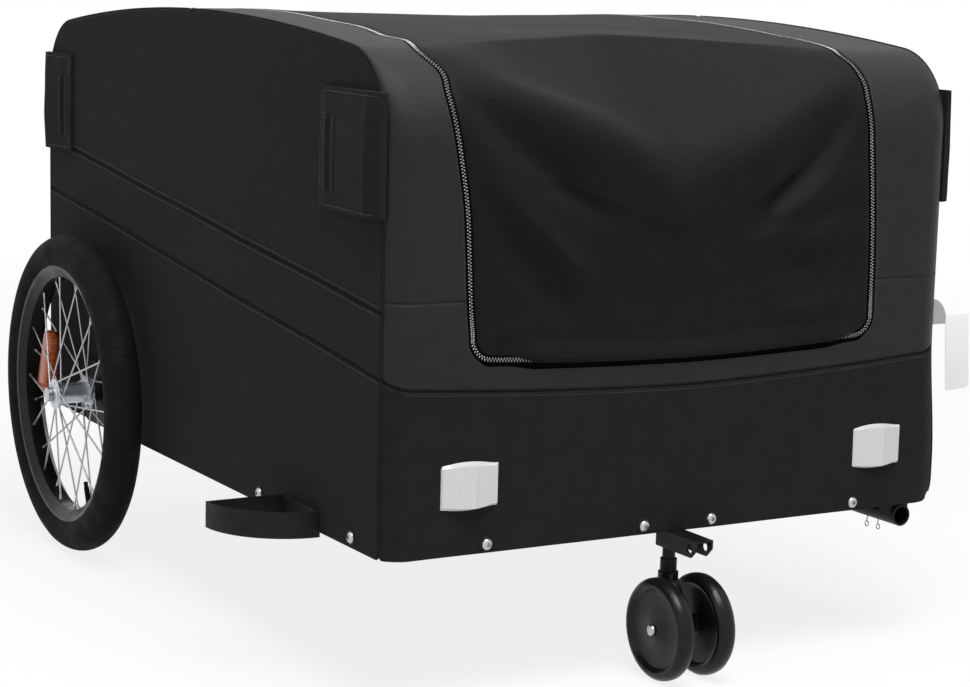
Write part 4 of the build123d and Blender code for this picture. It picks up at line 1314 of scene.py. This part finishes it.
# %% [markdown]
# ## Reflectors
# Each reflector is a moulded acrylic shell with two facets that meet at an upright ridge, where the mould
# leaves a fine bead, and a top and bottom edge that bow outwards. The moulding starts as a grid, bent to
# that form, and is closed behind. The pair is one mesh, because one CAD node stands for both.

# %% Reflectors
REFLECTOR_WIDTH, REFLECTOR_HEIGHT, REFLECTOR_DEPTH = 66 * MM, 47 * MM, 9 * MM
REFLECTOR_X, REFLECTOR_Z = (-0.2555, 0.2635), 0.228
# Where the ridge stands, as a share of the width, and the bead along it: its height and half-width.
RIDGE = 0.56
BEAD_RISE, BEAD_SHARE = 0.4 * MM, 0.012
# How far the top and bottom bow, how deep the ends are as a share of the ridge, and how far the rim sinks in.
BOW, EDGE_SHARE, RIM_SINK = 3.0 * MM, 0.16, 0.3 * MM


def reflector(centre_x, face_y, out):
    """A lens on the face at face_y; out is -1 for the front and +1 for the rear."""
    def place(across, along):
        rise = across / RIDGE if across < RIDGE else (1 - across) / (1 - RIDGE)
        upward = 2 * along - 1
        bow = BOW * math.sin(math.pi * min(across * 1.1, 1.0)) * upward
        bead = BEAD_RISE if abs(across - RIDGE) < BEAD_SHARE else 0.0
        proud = REFLECTOR_DEPTH * (EDGE_SHARE + (1 - EDGE_SHARE) * rise) + bead
        if min(across, 1 - across, along, 1 - along) <= 0.001:
            proud = -RIM_SINK
        x = centre_x + REFLECTOR_WIDTH * (across - 0.5)
        z = REFLECTOR_Z + (REFLECTOR_HEIGHT / 2 - BOW / 2) * upward + bow
        return Vector((x, face_y + out * proud, z))
    piece = lay(50, 16, place, thickness=0, facing=Vector((centre_x, MID_Y, REFLECTOR_Z)))
    close_back(piece)
    return piece


for end, face_y, out, finish, slot in (("front", FRONT_Y, -1, white_lens, "reflector_white"),
                                       ("rear", REAR_Y, 1, red_lens, "reflector_red")):
    pair = join([reflector(x, face_y, out) for x in REFLECTOR_X])
    settle(pair, f"reflector_lenses_{end}", "trailer", finish, slot, [f"reflectors_{end}"], angle=12)
    print(pair.name, len(pair.data.polygons), "faces")

# %% [markdown]
# ## Jockey wheels
# Each jockey wheel is one moulding of glossy nylon: a rounded rim around a disc that is dished on both
# sides and swells to a boss. Its half section is spun about the axle. A bolt with a domed head at each end
# runs through both.

# %% Jockey wheels
WHEEL_SECTION = [(4.6, -11.0), (7, -11.0), (12, -6.5), (38, -4.6), (41, -5.2), (43, -7.6), (45.5, -8.8),
                 (49.5, -8.6), (52.6, -6.4), (54.6, -3.0), (55, 0.0), (55, 4.0), (54, 7.6), (51.6, 10.6),
                 (48.5, 12.0), (45.5, 11.8), (43, 9.8), (41, 7.2), (38, 6.4), (14, 8.5), (7, 11.0),
                 (4.6, 11.0)]
for side_name, side in SIDES:
    low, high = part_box(f"jockey_wheel_{side_name}")
    wheel = spun(closed(WHEEL_SECTION), steps=72)
    wheel.data.transform(frame_of((low + high) / 2, *(FACE_PORT if side > 0 else FACE_STARBOARD)))
    settle(wheel, f"jockey_wheel_moulding_{side_name}", "jockey_wheels", jockey_finish, "jockey_plastic",
           [f"jockey_wheel_{side_name}"], angle=24)
low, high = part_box("jockey_axle")
half_axle = (high.x - low.x) / 2 / MM
bolt_outline = [(0, -half_axle), (3.0, -half_axle), (5.6, -half_axle + 1.2), (6.2, -half_axle + 3.0),
                (3.9, -half_axle + 3.0)]
bolt = spun(bolt_outline + [(r, -z) for r, z in reversed(bolt_outline)])
bolt.data.transform(frame_of((low + high) / 2, *FACE_PORT))
settle(bolt, "jockey_bolt", "jockey_wheels", zinc, "axle_steel", ["jockey_axle"])
print("jockey wheels made, bolt", round(2 * half_axle, 1), "mm long")

# %% [markdown]
# ## Tyres
# A small trailer tyre is a ring of black rubber with a fine, shallow block tread. Its round section is spun
# about the axle, the tread faces are inset one by one, and the blocks are pushed out by a third of a
# millimetre.

# %% Tyres
# In mm: the round section's radius, how far from the axle its centre is, and the rim's seat.
TYRE_RADIUS = 22.8
TYRE_RING = WHEEL_RADIUS / MM - 23.5
TYRE_SEAT = 163
# In degrees: where the section starts, and how far round to each side the tread goes.
SECTION_FROM, SECTION_STEPS = -142, 24
TREAD_COLUMNS, TREAD_HALF_ANGLE = 132, 52
BLOCK_INSET, BLOCK_RISE = 0.8 * MM, 0.35 * MM
# A little less than one step of the section, so that no row of faces lies on a tie when it is rounded.
TREAD_ROW = 11.8


def tyre(centre):
    """One tyre at this centre: its section is open towards the rim and closed across the rim's seat."""
    points = []
    for i in range(SECTION_STEPS + 1):
        turn = math.radians(SECTION_FROM - 2 * SECTION_FROM * i / SECTION_STEPS)
        points.append((TYRE_RING + TYRE_RADIUS * math.cos(turn), TYRE_RADIUS * math.sin(turn)))
    section = [(TYRE_SEAT, points[0][1]), *points, (TYRE_SEAT, points[-1][1])]
    piece = spun(closed(section), steps=TREAD_COLUMNS)
    bpy.ops.object.mode_set(mode="EDIT")
    bpy.ops.mesh.select_all(action="DESELECT")
    bpy.ops.object.mode_set(mode="OBJECT")
    for face in piece.data.polygons:
        out = math.hypot(face.center.x, face.center.y)
        band = math.degrees(math.atan2(face.center.z, out - TYRE_RING * MM))
        column = math.degrees(math.atan2(face.center.y, face.center.x)) * TREAD_COLUMNS / 360
        face.select = abs(band) < TREAD_HALF_ANGLE and (math.floor(column) + round(band / TREAD_ROW)) % 2 == 0
    bpy.ops.object.mode_set(mode="EDIT")
    bpy.ops.mesh.inset(thickness=BLOCK_INSET, use_individual=True)
    bpy.ops.transform.shrink_fatten(value=BLOCK_RISE)
    bpy.ops.object.mode_set(mode="OBJECT")
    piece.data.transform(frame_of(centre, *FACE_PORT))
    return piece


for side_name, side in SIDES:
    piece = tyre(Vector((side * WHEEL_X, AXLE_Y, WHEEL_RADIUS)))
    settle(piece, f"tyre_tread_{side_name}", f"wheel_{side_name}", rubber, "tyre_rubber",
           [f"tyre_{side_name}"], angle=35)
    print(piece.name, len(piece.data.polygons), "faces")

# %% [markdown]
# ## Rims and hubs
# The rim keeps its CAD shape and gets an edge on both sides, at the braking surface, in a grey lighter than
# the black rim. The hub keeps its own too, and gets a turned face with a locking ring at both ends.

# %% Rim edges and hub faces
WHEELS = [(name, side, Vector((side * WHEEL_X, AXLE_Y, WHEEL_RADIUS))) for name, side in SIDES]
HUB_FACE_OFF = 22 * MM
# Half metal: a dull grey ring, lighter than the black rim, inside the black tyre.
grey_rim_edge = rigid("half_metal_rim_edge", "#3C3E40", 0.45, metallic=0.5)
RIM_EDGE = [(158.0, 15.6), (163.4, 15.6), (163.9, 16.2), (163.4, 17.0), (159.0, 17.0), (157.4, 16.4)]
HUB_FACE = [(11.2, 0.0), (18.6, 0.0), (19.4, 0.6), (18.6, 1.3), (14.0, 2.0), (12.2, 3.4), (11.2, 3.4)]


def facings(side):
    """The axes that face out of a wheel and into the trailer."""
    return (FACE_PORT, FACE_STARBOARD) if side > 0 else (FACE_STARBOARD, FACE_PORT)


for side_name, side, centre in WHEELS:
    out, into = facings(side)
    both = [frame_of(centre, *axes) for axes in (out, into)]
    settle(repeat(spun(closed(RIM_EDGE), steps=96), both), f"rim_edge_{side_name}", f"wheel_{side_name}",
           grey_rim_edge, angle=25)
    ends = [frame_of(centre + Vector((side * flange * HUB_FACE_OFF, 0, 0)), *axes)
            for flange, axes in ((1, out), (-1, into))]
    settle(repeat(spun(closed(HUB_FACE), steps=40), ends), f"hub_faces_{side_name}", f"wheel_{side_name}",
           hub_finish, angle=25)
print("rim edges and hub faces made")

# %% [markdown]
# ## Spoke ends and valves
# Each spoke ends in a nipple at the rim and a pressed head at the hub. The lacing repeats the one of the CAD
# spokes: neighbours start on opposite faces of a flange, lean opposite ways and cross. A rubber valve stem
# points from the rim at the hub.

# %% Spoke ends
SPOKES_PER_FLANGE = 14
SPOKE_PITCH = 2 * math.pi / SPOKES_PER_FLANGE
RIM_INNER = 147 * MM
SPOKE_CIRCLE = {1: 15 * MM, -1: 18 * MM}
FLANGE_OFF, FLANGE_SKIP = 20 * MM, 2.8 * MM
RIM_SIDE_OFF, INTO_RIM = 3 * MM, 2 * MM
# Where a head sits, from the wheel's middle: on a flange's outer face, or under its inner one.
HEAD_OFF = {1: 23.2 * MM, -1: 17.6 * MM}
NIPPLE = [(0, 0), (1.7, 0), (2.1, 0.8), (2.1, 2.4), (1.5, 3.2), (1.4, 8.6), (0, 8.6)]
SPOKE_HEAD = [(0, 1.2), (1.6, 0.9), (2.3, 0), (0, -0.3)]


def spoke_line(side, flange, number, centre):
    """The hub end and the rim end of one spoke, and which way it leans."""
    leading = 1 if number % 2 == 0 else -1
    reach = SPOKE_CIRCLE[flange]
    angle = SPOKE_PITCH * number + (0 if flange > 0 else SPOKE_PITCH / 2)
    rim_angle = angle + leading * 2 * SPOKE_PITCH
    hub_x = side * flange * (FLANGE_OFF + leading * FLANGE_SKIP)
    hub_end = centre + Vector((hub_x, reach * math.cos(angle), reach * math.sin(angle)))
    reach = RIM_INNER + INTO_RIM
    rim_x = side * flange * RIM_SIDE_OFF
    rim_end = centre + Vector((rim_x, reach * math.cos(rim_angle), reach * math.sin(rim_angle)))
    return hub_end, rim_end, leading


def axes_along(direction):
    """Three axes, the last of them along this direction."""
    third = direction.normalized()
    first = third.cross(Vector((0, 0, 1)) if abs(third.z) < 0.9 else Vector((0, 1, 0))).normalized()
    return first, third.cross(first), third


for side_name, side, centre in WHEELS:
    out, into = facings(side)
    nipples, heads = [], []
    for flange in (1, -1):
        for number in range(SPOKES_PER_FLANGE):
            hub_end, rim_end, leading = spoke_line(side, flange, number, centre)
            nipples.append(frame_of(rim_end, *axes_along(hub_end - rim_end)))
            at = Vector((centre.x + side * flange * HEAD_OFF[leading], hub_end.y, hub_end.z))
            heads.append(frame_of(at, *(out if flange == leading else into)))
    settle(repeat(spun(NIPPLE, steps=8), nipples), f"spoke_nipples_{side_name}", f"wheel_{side_name}",
           spoke_finish)
    settle(repeat(spun(SPOKE_HEAD, steps=8), heads), f"spoke_heads_{side_name}", f"wheel_{side_name}",
           spoke_finish)
    print("spokes of the", side_name, "wheel:", len(heads))

# %% Valve stems
VALVE = [(0, 0), (4.6, 0), (4.6, 3), (3.4, 6), (3.2, 24), (2.7, 25), (2.7, 31), (0, 31)]
VALVE_TURN = math.radians(245)
for side_name, side, centre in WHEELS:
    at_rim = centre + Vector((0, math.cos(VALVE_TURN), math.sin(VALVE_TURN))) * RIM_INNER
    stem = spun(VALVE, steps=16)
    stem.data.transform(frame_of(at_rim, *axes_along(centre - at_rim)))
    settle(stem, f"valve_stem_{side_name}", f"wheel_{side_name}", rubber)
print("valve stems at", round(math.degrees(VALVE_TURN)), "degrees")

# %% [markdown]
# ## Spoke reflectors
# An orange lens with rounded ends is clipped between the spokes of each wheel, with a dark red lens on its
# inner side, whose darkness is painted shade: it stands for the shade on the reflector's inner side. Both
# start as blocks: the four short edges are bevelled far, and the rest a little.

# %% Spoke reflectors
LENS_TILT = Matrix.Rotation(math.radians(110), 4, "X")
# Length, width and corner radius of the orange lens and of the dark red one behind it, whose dark tone is
# painted shade.
OUTER_LENS, BACK_LENS = (84 * MM, 28 * MM, 12 * MM), (80 * MM, 25 * MM, 11 * MM)


def capsule(length, width, depth, radius):
    """A plate with rounded corners and softened edges: length along Y, width along Z, depth along X."""
    piece = cube((depth, length, width))
    bpy.ops.object.mode_set(mode="EDIT")
    bpy.ops.mesh.select_mode(type="EDGE")
    bpy.ops.mesh.select_all(action="DESELECT")
    bpy.ops.object.mode_set(mode="OBJECT")
    for edge in piece.data.edges:
        ends = [piece.data.vertices[i].co for i in edge.vertices]
        edge.select = abs(ends[0].x - ends[1].x) > 0.5 * depth
    bpy.ops.object.mode_set(mode="EDIT")
    bpy.ops.mesh.bevel(offset=radius, segments=8, affect="EDGES")
    bpy.ops.mesh.select_mode(type="VERT")
    bpy.ops.object.mode_set(mode="OBJECT")
    apply(piece, "BEVEL", width=depth * 0.3, segments=3, limit_method="ANGLE", angle_limit=math.radians(50))
    return piece


def spoke_lens(size, depth, at):
    """One lens of this length, width and corner radius, tilted as the spokes hold it."""
    length, width, radius = size
    made = capsule(length, width, depth, radius)
    made.data.transform(Matrix.Translation(at) @ LENS_TILT)
    return made


for side_name, side in SIDES:
    body = f"wheel_{side_name}"
    low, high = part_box(f"spoke_reflector_{side_name}")
    centre, half_depth = (low + high) / 2, (high.x - low.x) / 2
    outwards = Vector((side * half_depth, 0, 0))
    outer = spoke_lens(OUTER_LENS, half_depth * 1.3, centre + outwards * 0.3)
    settle(outer, f"spoke_lens_{side_name}", body, orange_lens, "reflector_orange",
           [f"spoke_reflector_{side_name}"], 30)
    back = spoke_lens(BACK_LENS, half_depth * 0.8, centre - outwards * 0.6)
    settle(back, f"spoke_lens_back_{side_name}", body, spoke_back_lens_painted_shade, "reflector_red", angle=30)
    print("spoke reflector of the", side_name, "wheel is", round(2 * half_depth, 4), "m thick")

# %% [markdown]
# ## Tow pins
# Two thin clips hang under the tow tube, not quite upright: each is a short wire with a ring at its end.

# %% Tow pins
WIRE_RADIUS, RING_WIRE_RADIUS, RING_RADIUS, RING_STEPS = 1.0 * MM, 0.7 * MM, 3 * MM, 16
CLIP_INSET, INTO_TUBE, WIRE_END, RING_DROP = 3 * MM, 3.0 * MM, 5.0 * MM, 2.5 * MM
CLIP_LEANS = (0.6 * MM, -1.0 * MM)
low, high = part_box("tow_pins")
socket_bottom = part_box("tow_socket")[0].z
pin_x = (low.x + high.x) / 2
clips = []
for y, sideways in zip((low.y + CLIP_INSET, high.y - CLIP_INSET), CLIP_LEANS):
    top = Vector((pin_x, y, socket_bottom + INTO_TUBE))
    bottom = Vector((pin_x + sideways, y, low.z + WIRE_END))
    clips.append(strand([top, (top + bottom) / 2, bottom], WIRE_RADIUS))
    turns = [2 * math.pi * i / RING_STEPS for i in range(RING_STEPS)]
    ring = [bottom + Vector((0, RING_RADIUS * math.cos(turn), RING_RADIUS * math.sin(turn) - RING_DROP))
            for turn in turns]
    clips.append(strand(ring, RING_WIRE_RADIUS, closed=True))
settle(join(clips), "tow_clips", "trailer", zinc, "socket_steel", ["tow_pins"])
print("tow clips: 2, each a wire and a ring")

# %% [markdown]
# ## Hang tag
# A blank swing tag hangs on the port side, at the front corner. It is stiff card with rounded corners. The
# strap is a quarter disc of soft plastic that stands out from the corner seam, with its flat edge below; its
# mid grey is painted shade, the shade that lies on the strap. The card starts as the same rounded plate as a
# lens, and the strap as a small grid.

# %% Hang tag
# Bleached, uncoated board: white, and quite matt.
card = rigid("white_card", "#F0F0F2", 0.6, grain_mm=2.0, rise=0.05)
# Plasticised sheet with hardly any shine. Its mid grey is painted shade, for the shade on the strap's face.
hang_strap_painted_shade = rigid("pvc_strap_grey_painted_shade", "#A9A9AE", 0.7, rise=0.1)
TAG_SIZE, TAG_THICK, TAG_CORNER = (86 * MM, 34 * MM), 0.7 * MM, 4 * MM
TAG_AT = Vector((HALF_WIDTH + 38.5 * MM, FRONT_Y + 16 * MM, 0.3235))
TAG_LEAN = math.radians(4)
STRAP_AT = Vector((HALF_WIDTH - 0.5 * MM, FRONT_Y + 17 * MM, 0.357))
STRAP_OUT, STRAP_UP = 22 * MM, 29 * MM


def strap_place(out, up):
    """A quarter disc that stands out from the corner seam, with its flat edge below."""
    x, z = STRAP_OUT * out * math.sqrt(1 - up ** 2 / 2), STRAP_UP * up * math.sqrt(1 - out ** 2 / 2)
    return STRAP_AT + Vector((x, 0, z))


sine, cosine = math.sin(TAG_LEAN), math.cos(TAG_LEAN)
tag_axes = (Vector((0, -1, 0)), Vector((sine, 0, -cosine)), Vector((cosine, 0, sine)))
tag = capsule(*TAG_SIZE, TAG_THICK, TAG_CORNER)
tag.data.transform(frame_of(TAG_AT, *tag_axes))
settle(tag, "hang_tag", "trailer", card)
strap = lay(12, 12, strap_place, thickness=0.9 * MM)
settle(strap, "hang_tag_loop", "trailer", hang_strap_painted_shade)
print("tag", [round(v, 3) for v in TAG_SIZE], "m, with nothing on it")

# %% [markdown]
# ## Camera
# The camera stands before the front starboard corner, a little above the box, and looks slightly down. Its
# axes are built from three angles: a turn about the vertical, a dip of the view, and a roll about the view.

# %% Camera
SENSOR = 36.0
# The focal length as a multiple of the sensor's width, and the three angles in radians.
FOCAL_RATIO = 2.41433
TURN, DIP, ROLL = 0.5259, 0.1571, 0.0250
CAMERA_AT = Vector((-1.39806, -2.45377, 0.73682))
ahead = Vector((math.sin(TURN) * math.cos(DIP), math.cos(TURN) * math.cos(DIP), -math.sin(DIP)))
level = Vector((math.cos(TURN), -math.sin(TURN), 0))
upward = level.cross(ahead)
right = level * math.cos(ROLL) + upward * math.sin(ROLL)
up = upward * math.cos(ROLL) - level * math.sin(ROLL)
camera_data = bpy.data.cameras.new("camera")
camera_data.sensor_width = SENSOR
camera_data.lens = SENSOR * FOCAL_RATIO
camera = bpy.data.objects.new("camera", camera_data)
bpy.context.scene.collection.objects.link(camera)
bpy.context.scene.camera = camera
camera_place = Matrix((right, up, -ahead)).transposed().to_4x4()
camera_place.translation = CAMERA_AT
camera.matrix_world = camera_place
bpy.context.scene.view_settings.view_transform = "Standard"
print("lens", round(camera_data.lens, 1), "mm")

# %% [markdown]
# ## Light
# The world lights the trailer dimly, and shows as plain white to the camera, in metal and through glass.
# Three square lamps do the rest: a key from above the front, a broad one over the top, and a weak one from
# the starboard side.

# %% World and lamps
WORLD_LIGHT = 0.2
WHITE = (1, 1, 1, 1)


def looked_at(owner):
    """1 for rays that the camera sees by, straight, mirrored or through glass, and 0 for all others."""
    rays = node(owner, "ShaderNodeLightPath", {}).outputs
    either = node(owner, "ShaderNodeMath", {0: rays["Is Camera Ray"], 1: rays["Is Glossy Ray"]},
                  operation="MAXIMUM").outputs[0]
    return node(owner, "ShaderNodeMath", {0: either, 1: rays["Is Transmission Ray"]},
                operation="MAXIMUM").outputs[0]


def lamp(name, at, aim, size, power):
    """A square lamp at a place, aimed at a point."""
    data = bpy.data.lights.new(name, "AREA")
    data.size = size
    data.energy = power
    made = bpy.data.objects.new(name, data)
    bpy.context.scene.collection.objects.link(made)
    made.location = at
    made.rotation_euler = (Vector(aim) - Vector(at)).to_track_quat("-Z", "Y").to_euler()


world = bpy.data.worlds.new("studio")
bpy.context.scene.world = world
world.use_nodes = True
world_nodes = world.node_tree.nodes
world_nodes["Background"].inputs["Color"].default_value = WHITE
world_nodes["Background"].inputs["Strength"].default_value = WORLD_LIGHT
white = node(world, "ShaderNodeBackground", {"Color": WHITE, "Strength": 1.0}).outputs["Background"]
shown = node(world, "ShaderNodeMixShader",
             {"Fac": looked_at(world), 1: world_nodes["Background"].outputs["Background"], 2: white})
world.node_tree.links.new(shown.outputs["Shader"], world_nodes["World Output"].inputs["Surface"])
# Name, place, aim, width in metres and power in watts.
LAMPS = (
    ("key", (-0.3, -1.5, 3.2), (0, -0.2, 0.4), 1.6, 112),
    ("top", (0.0, 0.3, 3.4), (0, 0, 0.4), 2.4, 25),
    ("side", (-3.2, -0.8, 1.8), (0, 0, 0.4), 1.8, 8),
)
for each in LAMPS:
    lamp(*each)
print("lamps:", [made.name for made in bpy.data.lights])

# %% [markdown]
# ## Floor
# The floor is pale and matt, so it takes the trailer's shadow. To the camera it glows towards white with
# distance, and meets the white world with no edge.

# %% Floor
FLOOR_SIZE = 60
# How much of the floor's look is glow, at these distances from the middle.
GLOW_NEAR, GLOW_FAR = (0.9, 0.84), (3.5, 1.0)
bpy.ops.object.select_all(action="DESELECT")
bpy.ops.mesh.primitive_plane_add(size=FLOOR_SIZE, location=(0, 0, -0.5 * MM))
floor = bpy.context.object
floor.name = "floor"
# Matt painted board: it scatters light evenly and keeps a soft shadow.
floor_paint, paint, place = start("pale_floor", Base_Color=(0.85, 0.85, 0.85, 1), Roughness=0.9)
glow = node(floor_paint, "ShaderNodeEmission", {"Color": WHITE}).outputs["Emission"]
away = node(floor_paint, "ShaderNodeVectorMath", {0: place}, operation="LENGTH").outputs["Value"]
far = node(floor_paint, "ShaderNodeMapRange",
           {"Value": away, "From Min": GLOW_NEAR[0], "From Max": GLOW_FAR[0],
            "To Min": GLOW_NEAR[1], "To Max": GLOW_FAR[1]}).outputs["Result"]
glowing = node(floor_paint, "ShaderNodeMath", {0: looked_at(floor_paint), 1: far},
               operation="MULTIPLY").outputs[0]
mix = node(floor_paint, "ShaderNodeMixShader", {"Fac": glowing, 1: paint.outputs["BSDF"], 2: glow})
floor_nodes = floor_paint.node_tree.nodes
floor_paint.node_tree.links.new(mix.outputs["Shader"], floor_nodes["Material Output"].inputs["Surface"])
floor.data.materials.append(floor_paint)
print("floor", FLOOR_SIZE, "m across")
